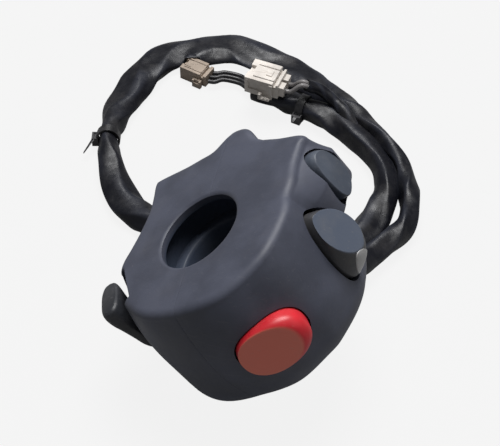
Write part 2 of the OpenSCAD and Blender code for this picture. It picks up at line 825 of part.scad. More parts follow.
module turn_pivot_pin() {
  color("silver") leaning() outward(0, turn_z)
    across(-turn_ear_out, turn_ear_out) translate([turn_pivot_r, 0]) circle(turn_pin_r);
}

module turn_base() {
  color("black") leaning() outward(0, turn_z) difference() {
    union() {
      rise(seat_r, turn_floor) translate([-turn_ear_out, -detent_back])
        square([2 * turn_ear_out, detent_back + 6.2]);
      for (side = [-1, 1])
        across(min(side * turn_ear_in, side * turn_ear_out), max(side * turn_ear_in, side * turn_ear_out))
          translate([seat_r, -3]) square([turn_pivot_r + turn_hub_r - seat_r, 6]);
      rise(seat_r, turn_pivot_r + 2) translate([-3, -detent_back]) square([6, detent_back - detent_wall]);
    }
    across(-turn_ear_out - cut, turn_ear_out + cut)
      translate([turn_pivot_r, 0]) circle(turn_pin_r + screw_gap / 2);
    translate([turn_pivot_r, 0, 0.6 - detent_back]) cylinder(r = ball_r + run_gap, h = detent_back);
    translate([seat_r, 0, turn_screw_a]) base_screw_hole();
  }
}

module turn_terminals() {
  color("goldenrod") leaning() outward(0, turn_z) for (step = [-1 : 1])
    translate([0, 0, step * 1.8]) rise(turn_floor, turn_floor + 0.25)
      square([5, 1.2], center = true);
}

module turn_cancel_spring() {
  color("silver") leaning() outward(0, turn_z) rotate([0, 90, 0])
    coil(turn_lever_top + 0.05, turn_cap_r - 0.05, 3, 0.25, 1.75);
}

module detent_ball() {
  color("silver") leaning() outward(0, turn_z)
    translate([turn_pivot_r, 0, -ball_a]) sphere(ball_r);
}

module detent_spring() {
  color("silver") leaning() outward(0, turn_z) translate([turn_pivot_r, 0, 0])
    coil(0.65 - detent_back, -ball_a - ball_r - 0.05, 0.8, 0.18, 3);
}

// The dimmer rocker: an oval face raked like the shoulder, on a hub along the bar
module dimmer_rocker() {
  color("dimgray") leaning() translate([0, dimmer_y, dimmer_z]) difference() {
    union() {
      difference() {
        rise(dimmer_under, dimmer_face) rotate(90) oval(dimmer_l, dimmer_w);
        translate([dimmer_face, -reach, -1]) rotate([0, -24, 0])
          cube([reach, 2 * reach, reach]);
      }
      translate([dimmer_pivot_x, 0, -dimmer_hub_a]) cylinder(r = dimmer_hub_r, h = 2 * dimmer_hub_a);
      translate([dimmer_pivot_x, -1.5, 1 - dimmer_hub_a])
        cube([dimmer_under - dimmer_pivot_x + cut, 3, 2 * dimmer_hub_a - 2]);
    }
    translate([dimmer_pivot_x, 0, -reach]) cylinder(r = dimmer_pin_r + run_gap, h = 2 * reach);
  }
}

module dimmer_pin() {
  color("silver") leaning() translate([dimmer_pivot_x, dimmer_y, dimmer_z - dimmer_end])
    cylinder(r = dimmer_pin_r, h = 2 * dimmer_end);
}

module dimmer_base() {
  color("black") leaning() translate([0, dimmer_y, dimmer_z]) difference() {
    union() {
      translate([dimmer_seat_x, -4, -dimmer_end]) cube([dimmer_floor - dimmer_seat_x, 8, 2 * dimmer_end]);
      for (side = [0, 1]) translate([dimmer_seat_x, -2, side == 0 ? -dimmer_end : dimmer_end - dimmer_ear])
        cube([dimmer_pivot_x + 1.7 - dimmer_seat_x, 4, dimmer_ear]);
    }
    translate([dimmer_pivot_x, 0, -reach]) cylinder(r = dimmer_pin_r + screw_gap / 2, h = 2 * reach);
    translate([dimmer_seat_x, 0, -dimmer_screw_a]) base_screw_hole();
  }
}

module dimmer_leaf() {
  color("goldenrod") leaning() translate([dimmer_floor, dimmer_y, dimmer_z]) {
    translate([0, -3.4, -1.5]) cube([0.5, 6.8, 6]);
    for (side = [-1, 1]) translate([0, side * 2.4, 1.5]) rotate([0, 90, 0]) cylinder(r = 0.8, h = 2.4);
  }
}

// The passing lever: hub, arm along the bar, contact foot and finger pad
module pass_lever() {
  color("black") leaning() outward(pass_angle, 0) difference() {
    union() {
      across(-pass_w / 2, pass_hub_end) translate([pass_pivot_r, pass_z]) circle(pass_hub_r);
      across(-pass_w / 2, pass_w / 2) polygon([
        [pass_pivot_r - pass_t / 2, pass_z + 3.4], [pass_pivot_r + pass_t / 2, pass_z + 3.4],
        [belly_r - wall - 0.9, slot_z], [belly_r - 0.9, slot_z + 2],
        [pad_r + pad_h - 0.4, pad_top - pad_t], [pad_r, pad_top - pad_t]
      ]);
      across(-pass_w / 2, pass_hub_end) translate([pass_pivot_r - pass_t / 2, pass_z])
        square([pass_t, 3.6]);
      across(-1.5, 1.5) translate([pass_switch_top + pass_plunger_h + 1.2, pass_z + 4.5])
        square([pass_pivot_r - pass_switch_top - 1, 2]);
      translate([pad_r + pad_h / 2, 0, pad_top - pad_t]) linear_extrude(pad_t)
        rotate(90) oval(pad_w, pad_h);
    }
    across(-reach, reach) translate([pass_pivot_r, pass_z]) circle(pass_pin_r + run_gap);
  }
}

module pass_pin() {
  color("silver") leaning() outward(pass_angle, 0)
    across(-pass_ear_out, pass_ear_out) translate([pass_pivot_r, pass_z]) circle(pass_pin_r);
}

module pass_spring() {
  color("silver") leaning() outward(pass_angle, 0) translate([pass_pivot_r, 0, pass_z])
    rotate([-90, 0, 0]) coil(pass_hub_end + 0.1, pass_ear_in - 0.1, 2.3, 0.3, 2.5);
}

module pass_switch() {
  color("black") leaning() outward(pass_angle, 0)
    rise(seat_r, pass_switch_top) translate([-pass_switch_w / 2, pass_switch_z])
      square([pass_switch_w, pass_switch_l]);
}

module pass_plunger() {
  color("ivory") leaning() outward(pass_angle, 0)
    translate([0, 0, pass_z + 5.5]) rise(pass_switch_top, pass_switch_top + pass_plunger_h) circle(1);
}

// Leads from each switch, gathered at the cable outlet inside the housing
module inner_wires() {
  r = wire_d / 2;
  lane = saddle_r + 3.3;
  back_z = (pass_z - pass_hub_r + wall - grip_z) / 2;
  lip_z = wall + 1 - grip_z;
  gather = [outlet_x, outlet_y, lip_z];
  color("midnightblue") leaning() {
    tube(concat(
      [for (step = [0, 2]) polar(horn_angle, seat_r + 1.8, horn_z - horn_base_a - step)],
      [for (a = [horn_angle + 8 : 12 : 70]) polar(a, lane, back_z)],
      [gather + [1.2, -1.4, 1.6], gather + [1.2, -1.4, 0]]), r, 8, [0.3, 0.2, 1]);
    tube(concat(
      [[turn_pivot_r, 1.5, turn_z - detent_back - 0.1], [turn_pivot_r, 1.6, turn_z - detent_back - 3]],
      [for (a = [10 : 12 : 58]) polar(a, lane + 3.5, back_z + 1.5)],
      [gather + [2.4, 0.8, 1.8], gather + [2.4, 0.8, 0]]), r, 8, [0.3, 0.2, 1]);
    tube(concat(
      [for (step = [3.3, 1, -2]) polar(pass_angle, seat_r + 1.5, pass_z + step)],
      [for (a = [pass_angle - 10 : -12 : -264]) polar(a, lane, back_z)],
      [gather + [-1.6, -0.4, 1.6], gather + [-1.6, -0.4, 0]]), r, 8, [0.3, 0.2, 1]);
  }
}

// The rubber elbow in the cable outlet
module cable_elbow() {
  color("black") leaning() {
    translate([outlet_x, outlet_y, 0]) {
      translate([0, 0, -grip_z]) cylinder(r = outlet_r - 0.1, h = wall + 1);
      translate([0, 0, -grip_z - collar]) cylinder(r = outlet_r + 0.8, h = collar);
      translate([0, 0, -grip_z - collar]) rotate([0, 0, elbow_side])
        translate([elbow_r, 0, 0]) rotate([90, 0, 0]) rotate([0, 0, 180])
          rotate_extrude(angle = elbow_turn) translate([elbow_r, 0]) circle(elbow_tube_r);
    }
    translate(elbow_end - nose_lap * elbow_out) rotate([0, 180 - elbow_turn, elbow_side])
      cylinder(r = elbow_tube_r + 0.3, h = nose + nose_lap);
  }
}

module harness_sleeve() {
  sides = 12;
  rings = len(sleeve_path);
  points = [for (i = [0 : rings - 1])
    each ring(sleeve_path, i, sleeve_widths[i], flat_h(sleeve_widths[i]), sides, [0, 0, 1])];
  color("black") tube_skin(points, rings, sides);
}

// Bare leads from the sleeve's cut end to the beige connector
module end_wires() {
  color("black") for (k = [-1 : 1])
    tube([
      sleeve_end + [0, k * wire_d * 1.2, 0], sleeve_end + [-3, 1 + k * wire_d * 1.2, -0.6],
      [-23, 92.4 + 2 * k, floor_z + 2.2], [-27.6, 92.6 + 2 * k, floor_z + 2.4],
      socket_face + [2, 2 * k, 0], socket_face + [0, 1.9 * k, 0]
    ], wire_d / 2, 8);
}
socket_face = socket_at + socket_l / 2 * [cos(socket_turn), sin(socket_turn), 0];

module branch_sleeve() {
  color("black") tube(branch_path, branch_d / 2, 8);
}

// Two short leads from the branch sleeve to the white connector
module branch_wires() {
  tail = plug_at + plug_l / 2 * [cos(plug_turn), sin(plug_turn), 0];
  color("gray") for (side = [-1, 1])
    tube([
      tail + [0, side * 1.6, -0.6], tail + [1.6, side * 1.4 - 0.3, -0.6],
      branch_path[0] + [-1.5, side * 0.8, 0], branch_path[0] + [0, side * 0.8, 0]
    ], wire_d / 2, 8);
}

module placed_plug() {
  translate(plug_at) rotate([0, 0, plug_turn]) children();
}

module placed_socket() {
  translate(socket_at) rotate([0, 0, socket_turn]) children();
}

// Two terminal cavities through a connector's mating face
module cavities(depth, spacing, size) {
  for (side = [-1, 1]) translate([0, side * spacing - size / 2, -size / 2]) cube([depth, size, size]);
}

module white_connector() {
  color("white") placed_plug() difference() {
    union() {
      cube([plug_l, plug_w, plug_h], center = true);
      translate([plug_l / 2 - 4, -plug_w / 2 - 0.5, -plug_h / 2]) cube([4, plug_w + 1, plug_h]);
    }
    translate([-plug_l / 2 - cut, 0, 0]) cavities(plug_l - 3 + cut, 1.9, 2.2);
    translate([-plug_l / 2 - cut, -1.5, plug_h / 2 - 1.2]) cube([5, 3, 1.2 + cut]);
  }
}

module white_latch() {
  color("white") placed_plug() translate([-1, -plug_w / 2, -plug_h / 2]) {
    translate([0, -1.6, 0]) cube([plug_l / 2 - 3.2, 1.6, 0.9]);
    translate([0, -1.6, 0]) cube([1.2, 1.6, 2.2]);
  }
}

module beige_connector() {
  color("tan") placed_socket() difference() {
    union() {
      cube([socket_l, socket_w, socket_h], center = true);
      translate([0.5, -socket_w / 2 - 1.2, -socket_h / 2]) cube([3, 1.2 + cut, socket_h - 2]);
    }
    translate([-socket_l / 2 - cut, 0, 0]) cavities(socket_l - 3 + cut, 1.8, 2.2);
  }
}

// Tinned terminals at the bottom of the connectors' cavities
module connector_terminals() {
  color("silver") {
    placed_plug() translate([plug_l / 2 - 8, 0, 0]) cavities(5, 1.9, 1.7);
    placed_socket() translate([socket_l / 2 - 7, 0, 0]) cavities(4, 1.8, 1.7);
  }
}

// Two plastic ties round the sleeve, with their heads
module cable_ties() {
  color("black") for (place = tie_places) {
    t = place[1] * heading(sleeve_path, place[0]);
    wide = sleeve_widths[place[0]];
    high = flat_h(wide);
    inner = wide + 2 * tie_slack;
    translate(sleeve_path[place[0]]) rotate([0, 0, atan2(t[1], t[0])]) {
      difference() {
        translate([-tie_w / 2, -inner / 2 - tie_t, -high / 2])
          cube([tie_w, inner + 2 * tie_t, high + tie_slack + tie_t]);
        translate([-tie_w, -inner / 2, -high]) cube([2 * tie_w, inner, 1.5 * high + tie_slack]);
      }
      translate([-tie_w / 2 - 0.6, inner / 2 + tie_t - 0.4, -1.5]) cube([tie_w + 1.2, 3, 3.6]);
    }
  }
}

front_half();
rear_half();
housing_screws();
screw_inserts();
base_screws();
horn_button();
horn_bridge();
horn_spring();
horn_base();
horn_terminals();
turn_knob();
turn_marker();
turn_lever();
turn_wiper();
turn_pivot_pin();
turn_base();
turn_terminals();
turn_cancel_spring();
detent_ball();
detent_spring();
dimmer_rocker();
dimmer_pin();
dimmer_base();
dimmer_leaf();
pass_lever();
pass_pin();
pass_spring();
pass_switch();
pass_plunger();
inner_wires();
cable_elbow();
harness_sleeve();
end_wires();
branch_sleeve();
branch_wires();
white_connector();
white_latch();
beige_connector();
connector_terminals();
cable_ties();
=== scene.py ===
import json
import math
import bmesh
import bpy
import numpy as np
from mathutils import Matrix


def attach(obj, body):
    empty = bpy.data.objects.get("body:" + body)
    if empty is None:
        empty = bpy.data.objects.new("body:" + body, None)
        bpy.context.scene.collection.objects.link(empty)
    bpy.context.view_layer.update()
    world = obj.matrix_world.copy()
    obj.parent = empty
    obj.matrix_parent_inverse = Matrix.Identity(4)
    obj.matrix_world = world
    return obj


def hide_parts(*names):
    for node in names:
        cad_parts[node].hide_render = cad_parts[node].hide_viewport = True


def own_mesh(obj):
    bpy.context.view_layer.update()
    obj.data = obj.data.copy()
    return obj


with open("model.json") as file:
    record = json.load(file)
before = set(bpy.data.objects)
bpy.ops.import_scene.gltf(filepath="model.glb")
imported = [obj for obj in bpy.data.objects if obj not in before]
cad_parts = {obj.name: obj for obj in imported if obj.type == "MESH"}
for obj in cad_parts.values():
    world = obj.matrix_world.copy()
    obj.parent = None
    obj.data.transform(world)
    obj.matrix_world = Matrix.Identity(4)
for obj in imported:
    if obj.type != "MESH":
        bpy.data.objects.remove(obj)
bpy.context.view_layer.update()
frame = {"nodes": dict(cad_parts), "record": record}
print("frame loaded:", len(frame["nodes"]), "nodes")

# Sizes are millimetres. The bar's own frame has z along the bar towards the grip,
# y up and x towards the rider; it leans about Y as the part lies on the table.
mm = 0.001
lean = math.radians(36)
tableZ = -29.2
gripEnd = 19.0


# A point of the bar's frame turned about Y by the lean, in metres
def toRow(p):
    p = np.asarray(p, float)
    x, y, z = p[..., 0], p[..., 1], p[..., 2]
    c, s = math.cos(lean), math.sin(lean)
    return np.stack([x * c - z * s, y, x * s + z * c], -1) * mm


# The line out from the bar at an angle: outward, round the bar, along the bar
def outwardAxes(angle):
    a = math.radians(angle)
    out = np.array([math.cos(a), math.sin(a), 0])
    side = np.array([-math.sin(a), math.cos(a), 0])
    return out, side, np.array([0, 0, 1.0])


def smooth(low, high, value):
    t = np.clip((value - low) / (high - low), 0, 1)
    return t * t * (3 - 2 * t)


# The lower of two heights, rounded where they meet
def softLow(a, b, blend):
    h = np.clip(0.5 + 0.5 * (b - a) / blend, 0, 1)
    return b * (1 - h) + a * h - blend * h * (1 - h)


def unit(v):
    return v / np.linalg.norm(v)


# The angles of a full turn in radians
def fullTurn(count):
    return np.linspace(0, 2 * np.pi, count, endpoint=False)


# A curve through given points: in each span a cubic that leaves and arrives along
# the line between the neighbouring points
def curveThrough(points, perSpan, closed=False):
    p = np.asarray(points, float)
    if closed:
        p = np.concatenate([p[-1:], p, p[:2]])
    else:
        p = np.concatenate([2 * p[:1] - p[1:2], p, 2 * p[-1:] - p[-2:-1]])
    t = np.linspace(0, 1, perSpan, endpoint=False)[None, :, None]
    a, b, c, d = (p[k:len(p) - 3 + k, None] for k in range(4))
    curve = 0.5 * (2 * b + (c - a) * t + (2 * a - 5 * b + 4 * c - d) * t ** 2
                   + (3 * b - a - 3 * c + d) * t ** 3)
    curve = curve.reshape(-1, p.shape[1])
    return curve if closed else np.concatenate([curve, p[-2:-1]])


# The same curve with its points a fixed step apart
def evenPath(points, step):
    dense = curveThrough(points, 24)
    along = np.concatenate([[0], np.cumsum(np.linalg.norm(np.diff(dense[:, :3], axis=0), axis=1))])
    at = np.linspace(0, along[-1], int(round(along[-1] / step)) + 1)
    return np.stack([np.interp(at, along, dense[:, k]) for k in range(dense.shape[1])], -1), at


# A closed outline read as radius by angle in degrees
def radiusByAngle(points):
    loop = curveThrough(points, 24, closed=True)
    angle = np.degrees(np.arctan2(loop[:, 1], loop[:, 0]))
    order = np.argsort(angle)
    angle, radius = angle[order], np.hypot(loop[:, 0], loop[:, 1])[order]
    return lambda phi: np.interp((phi + 180) % 360 - 180, angle, radius, period=360)


# Quads of a grid of points, row by row, closed in either direction where asked
def gridFaces(rows, cols, closeRows=False, closeCols=False, start=0):
    i = np.arange(rows if closeRows else rows - 1)[:, None]
    j = np.arange(cols if closeCols else cols - 1)[None, :]
    i2, j2 = (i + 1) % rows, (j + 1) % cols
    quads = np.stack(np.broadcast_arrays(i * cols + j, i2 * cols + j, i2 * cols + j2, i * cols + j2), -1)
    return quads + start


def gridList(rows, cols, closeRows=False, closeCols=False, start=0):
    return gridFaces(rows, cols, closeRows, closeCols, start).reshape(-1, 4).tolist()


# Faces of rows of rings, each ring closed, with both ends filled
def ringFaces(rows, cols):
    first, last = list(range(cols)), list(range((rows - 1) * cols, rows * cols))
    return gridList(rows, cols, closeCols=True) + [first[::-1], last]


# Several shapes, each with its points and faces, as one
def joined(shapes):
    points, faces, start = [], [], 0
    for p, f in shapes:
        points.append(np.asarray(p).reshape(-1, 3))
        faces += [[v + start for v in face] for face in f]
        start += len(points[-1])
    return np.concatenate(points), faces


# Puts a shape into a mesh, turns its faces outward and keeps sharp edges sharp
def makePiece(name, shape, body, slot, nodes, marks=None, sharp=38):
    points, faces = shape
    mesh = bpy.data.meshes.new(name)
    mesh.from_pydata(np.asarray(points).reshape(-1, 3).tolist(), [], faces)
    for mark, values in (marks or {}).items():
        layer = mesh.attributes.new(mark, "FLOAT", "POINT")
        layer.data.foreach_set("value", np.asarray(values, np.float32).ravel())
    work = bmesh.new()
    work.from_mesh(mesh)
    bmesh.ops.recalc_face_normals(work, faces=work.faces)
    work.to_mesh(mesh)
    work.free()
    mesh.shade_smooth()
    mesh.set_sharp_from_angle(angle=math.radians(sharp))
    mesh.materials.append(finishes[slot])
    piece = bpy.data.objects.new(name, mesh)
    bpy.context.scene.collection.objects.link(piece)
    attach(piece, body)
    if nodes:
        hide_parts(*nodes)
    return piece


# Stands a camera or lamp at a place, its own three axes along the given ones
def standAt(thing, place, axes):
    turned = np.eye(4)
    turned[:3, :3] = np.stack(axes, 1)
    turned[:3, 3] = place
    thing.matrix_world = Matrix(turned.tolist())
    bpy.context.scene.collection.objects.link(thing)


# Camera, where the photograph was taken from; focal length and width are in pixels
view = dict(place=(47.8, -205.8, 273.1), right=(0.976, 0.219, 0), up=(-0.168, 0.748, 0.642),
            focal=1400, width=500, sensor=36, nearest=10)


def addCamera():
    right = unit(np.array(view["right"]))
    back = unit(np.cross(right, view["up"]))
    data = bpy.data.cameras.new("camera")
    data.sensor_width = view["sensor"]
    data.lens = view["sensor"] * view["focal"] / view["width"]
    data.clip_start = view["nearest"] * mm
    camera = bpy.data.objects.new("camera", data)
    standAt(camera, np.array(view["place"]) * mm, (right, np.cross(back, right), back))
    bpy.context.scene.camera = camera


addCamera()
print("camera set")


# Materials. A tree of shader nodes is wired with a few small helpers; an input is a link
# or a fixed value, named, or numbered as i0, i1 and so on
def feed(tree, socket, value):
    if isinstance(value, bpy.types.NodeSocket):
        tree.links.new(value, socket)
    else:
        socket.default_value = value


def addNode(tree, kind, **inputs):
    node = tree.nodes.new(kind)
    for name, value in inputs.items():
        numbered = name[0] == "i" and name[1:].isdigit()
        feed(tree, node.inputs[int(name[1:]) if numbered else name], value)
    return node


def noise(tree, vector, scale, detail=3.0, roughness=0.55):
    inputs = dict(Vector=vector, Scale=scale, Detail=detail, Roughness=roughness)
    return addNode(tree, "ShaderNodeTexNoise", **inputs).outputs["Fac"]


def remap(tree, value, low, high, toLow=0.0, toHigh=1.0):
    node = addNode(tree, "ShaderNodeMapRange", i0=value, i1=low, i2=high, i3=toLow, i4=toHigh)
    node.interpolation_type = "SMOOTHSTEP"
    return node.outputs[0]


def math2(tree, operation, a, b):
    node = addNode(tree, "ShaderNodeMath", i0=a, i1=b)
    node.operation = operation
    return node.outputs[0]


def mixColour(tree, factor, a, b):
    node = tree.nodes.new("ShaderNodeMix")
    node.data_type = "RGBA"
    feed(tree, node.inputs[0], factor)
    for number, colour in ((6, a), (7, b)):
        feed(tree, node.inputs[number], (*colour, 1) if isinstance(colour, tuple) else colour)
    return node.outputs[2]


def newGroup(name, inputs, outputs):
    group = bpy.data.node_groups.new(name, "ShaderNodeTree")
    for label, kind, value in inputs:
        socket = group.interface.new_socket(label, in_out="INPUT", socket_type=kind)
        if value is not None:
            socket.default_value = value
    for label, kind in outputs:
        group.interface.new_socket(label, in_out="OUTPUT", socket_type=kind)
    return group, group.nodes.new("NodeGroupInput").outputs, group.nodes.new("NodeGroupOutput").inputs


# Moulded grain: two sizes of noise as a height, and a slow drift of tone
def makeGrain():
    group, given, out = newGroup("mouldGrain", [
        ("Vector", "NodeSocketVector", None), ("Scale", "NodeSocketFloat", 1600.0)],
        [("Height", "NodeSocketFloat"), ("Tone", "NodeSocketFloat")])
    fine = noise(group, given["Vector"], given["Scale"], 2.0)
    coarse = noise(group, given["Vector"], math2(group, "MULTIPLY", given["Scale"], 0.3), 2.0)
    group.links.new(math2(group, "ADD", math2(group, "MULTIPLY", fine, 0.6), coarse), out["Height"])
    group.links.new(noise(group, given["Vector"], 70.0, 4.0), out["Tone"])
    return group


# Dust and handling: pale film in broad patches, small specks and thin scratches
def makeDust():
    group, given, out = newGroup("dustFilm", [
        ("Vector", "NodeSocketVector", None), ("Amount", "NodeSocketFloat", 0.5)],
        [("Film", "NodeSocketFloat"), ("Specks", "NodeSocketFloat"), ("Scratches", "NodeSocketFloat")])
    film = remap(group, noise(group, given["Vector"], 110.0, 6.0, 0.65), 0.45, 0.75)
    group.links.new(math2(group, "MULTIPLY", film, given["Amount"]), out["Film"])
    cells = addNode(group, "ShaderNodeTexVoronoi", Vector=given["Vector"], Scale=240.0, Randomness=1.0)
    specks = remap(group, cells.outputs["Distance"], 0.05, 0.02)
    patchy = remap(group, noise(group, given["Vector"], 160.0, 2.0), 0.52, 0.62)
    group.links.new(math2(group, "MULTIPLY", specks, patchy), out["Specks"])
    stretched = addNode(group, "ShaderNodeMapping", Vector=given["Vector"], Rotation=(0.4, 0.7, 0.5),
                        Scale=(90, 1500, 1500))
    lines = remap(group, noise(group, stretched.outputs[0], 1.0, 1.0), 0.68, 0.73)
    group.links.new(math2(group, "MULTIPLY", lines, given["Amount"]), out["Scratches"])
    return group


grainGroup, dustGroup = makeGrain(), makeDust()


def useGroup(tree, group, **inputs):
    node = tree.nodes.new("ShaderNodeGroup")
    node.node_tree = group
    for name, value in inputs.items():
        feed(tree, node.inputs[name], value)
    return node.outputs


def startMaterial(name, **fixed):
    material = bpy.data.materials.new(name)
    material.use_nodes = True
    tree = material.node_tree
    shader = tree.nodes["Principled BSDF"]
    for socket, value in fixed.items():
        shader.inputs[socket.replace("_", " ")].default_value = value
    place = tree.nodes.new("ShaderNodeTexCoord").outputs["Object"]
    return material, tree, shader, place


def bumpInto(tree, shader, height, strength, distance):
    bump = addNode(tree, "ShaderNodeBump", Strength=strength, Distance=distance, Height=height)
    tree.links.new(bump.outputs[0], shader.inputs["Normal"])


def attribute(tree, name):
    node = tree.nodes.new("ShaderNodeAttribute")
    node.attribute_name = name
    return node.outputs["Fac"]


# Moulded plastic: base tone with drift, or a second tone where an attribute says, then dust
# film, specks and scratches, and fine grain
plastic = dict(tones=(0.82, 1.15), marks=(("Film", 0.35), ("Specks", 0.55), ("Scratches", 0.4)),
               specular=0.45, grainDepth=0.00012)


def mouldedPlastic(name, base, dust, rough=(0.42, 0.6), amount=0.4, grain=1600.0, bump=0.25, second=None):
    material, tree, shader, place = startMaterial(name, Specular_IOR_Level=plastic["specular"])
    surface = useGroup(tree, grainGroup, Vector=place, Scale=grain)
    marks = useGroup(tree, dustGroup, Vector=place, Amount=amount)
    dark, light = (tuple(min(1.0, tone * c) for c in base) for tone in plastic["tones"])
    colour = mixColour(tree, remap(tree, surface["Tone"], 0.35, 0.65), dark, light)
    if second:
        mark, other = second
        colour = mixColour(tree, attribute(tree, mark), colour, other)
    for mark, share in plastic["marks"]:
        colour = mixColour(tree, math2(tree, "MULTIPLY", marks[mark], share), colour, dust)
    tree.links.new(colour, shader.inputs["Base Color"])
    tree.links.new(remap(tree, surface["Tone"], 0.3, 0.7, *rough), shader.inputs["Roughness"])
    bumpInto(tree, shader, surface["Height"], bump, plastic["grainDepth"])
    return material


# Drawn or plated metal: fine streaks in the roughness and a stained tone
def drawnMetal(name, base, stain, rough=(0.22, 0.45)):
    material, tree, shader, place = startMaterial(name, Metallic=1.0)
    streaks = addNode(tree, "ShaderNodeMapping", Vector=place, Scale=(500, 500, 4000))
    lines = noise(tree, streaks.outputs[0], 1.0, 3.0)
    tone = noise(tree, place, 300.0, 4.0)
    tree.links.new(mixColour(tree, remap(tree, tone, 0.45, 0.7), base, stain), shader.inputs["Base Color"])
    tree.links.new(remap(tree, lines, 0.3, 0.7, *rough), shader.inputs["Roughness"])
    bumpInto(tree, shader, lines, 0.15, 0.00005)
    return material


# Limp vinyl: near black, painted sheen (a lighter bluish tone) on the raised folds and painted shade
# in the creases and dents, a dust film and specks, and fine creases
# deep is the painted shade of the creases and dents, raised the painted sheen of the raised folds
vinyl = dict(deep=(0.005, 0.0055, 0.009), raised=(0.018, 0.02, 0.029), specular=0.3, dusty=0.7,
             film=(0.22, (0.16, 0.15, 0.145)), specks=(0.4, (0.3, 0.29, 0.27)),
             creaseBump=0.35, creaseDepth=0.0004)


def limpVinyl(name):
    material, tree, shader, place = startMaterial(name, Specular_IOR_Level=vinyl["specular"])
    marks = useGroup(tree, dustGroup, Vector=place, Amount=vinyl["dusty"])
    creases = noise(tree, place, 380.0, 5.0, 0.6)
    # Painted sheen and shade: the mask runs from the creases' near-black tone to the raised folds' bluish
    # one
    colour = mixColour(tree, remap(tree, attribute(tree, "foldSheenShade"), 0.35, 1.0), vinyl["deep"], vinyl["raised"])
    for mark, (share, tone) in (("Film", vinyl["film"]), ("Specks", vinyl["specks"])):
        colour = mixColour(tree, math2(tree, "MULTIPLY", marks[mark], share), colour, tone)
    tree.links.new(colour, shader.inputs["Base Color"])
    tree.links.new(remap(tree, creases, 0.3, 0.7, 0.3, 0.52), shader.inputs["Roughness"])
    bumpInto(tree, shader, creases, vinyl["creaseBump"], vinyl["creaseDepth"])
    return material


paleDust = (0.3, 0.29, 0.3)
satin, glossy, worn = (0.38, 0.52), (0.3, 0.45), (0.4, 0.55)
finishes = {
    # The housing's second, darker tone goes on the bore's points: painted shade inside the bore
    "housing_plastic": mouldedPlastic(
        "housingPlastic", (0.064, 0.07, 0.098), (0.2, 0.19, 0.2), (0.44, 0.6), 0.22,
        second=("inside", (0.03, 0.04, 0.064))),
    "switch_black": mouldedPlastic("switchBlack", (0.02, 0.02, 0.022), paleDust),
    "horn_red": mouldedPlastic(
        "hornRed", (0.6, 0.02, 0.03), (0.5, 0.3, 0.26), (0.3, 0.42), 0.25, 1200.0, 0.12,
        second=("face", (0.8, 0.2, 0.14))),
    # The knob's second tone, lighter and bluer, goes on its pad: painted light on the lit top of the wall's
    # own plastic
    "knob_grey": mouldedPlastic(
        "knobGrey", (0.06, 0.06, 0.066), (0.25, 0.23, 0.2), (0.34, 0.5),
        second=("face", (0.088, 0.106, 0.146))),
    "marker_white": mouldedPlastic("markerWhite", (0.5, 0.5, 0.5), (0.3, 0.27, 0.22), glossy),
    "rocker_grey": mouldedPlastic("rockerGrey", (0.07, 0.083, 0.11), (0.25, 0.24, 0.23), (0.36, 0.5)),
    "lever_black": mouldedPlastic("leverBlack", (0.028, 0.03, 0.036), paleDust, satin),
    "natural_nylon": mouldedPlastic("naturalNylon", (0.62, 0.57, 0.46), (0.4, 0.36, 0.28)),
    "elbow_rubber": mouldedPlastic("elbowRubber", (0.018, 0.018, 0.02), paleDust, (0.55, 0.75), 0.6),
    "sleeve_vinyl": limpVinyl("sleeveVinyl"),
    "wire_black": mouldedPlastic("wireBlack", (0.014, 0.014, 0.016), paleDust, glossy),
    "wire_grey": mouldedPlastic("wireGrey", (0.2, 0.19, 0.19), paleDust, glossy),
    "connector_white": mouldedPlastic(
        "connectorWhite", (0.72, 0.67, 0.62), (0.3, 0.24, 0.19), worn, 0.9),
    "connector_beige": mouldedPlastic(
        "connectorBeige", (0.36, 0.29, 0.23), (0.12, 0.09, 0.07), worn, 0.9),
    "tie_black": mouldedPlastic("tieBlack", (0.014, 0.014, 0.016), paleDust, (0.35, 0.5)),
    "plated_steel": drawnMetal("platedSteel", (0.55, 0.55, 0.53), (0.3, 0.27, 0.22)),
    "spring_steel": drawnMetal("springSteel", (0.42, 0.42, 0.42), (0.22, 0.2, 0.18)),
    "brass": drawnMetal("brassSheet", (0.65, 0.47, 0.2), (0.35, 0.23, 0.1)),
    "tinned_brass": drawnMetal("tinnedBrass", (0.55, 0.54, 0.5), (0.3, 0.26, 0.2)),
}
for part in frame["record"]["subparts"]:
    slots = frame["nodes"][part["node"]].data.materials
    slots.clear()
    slots.append(finishes[part["material_slot"]])
print("materials:", len(finishes))


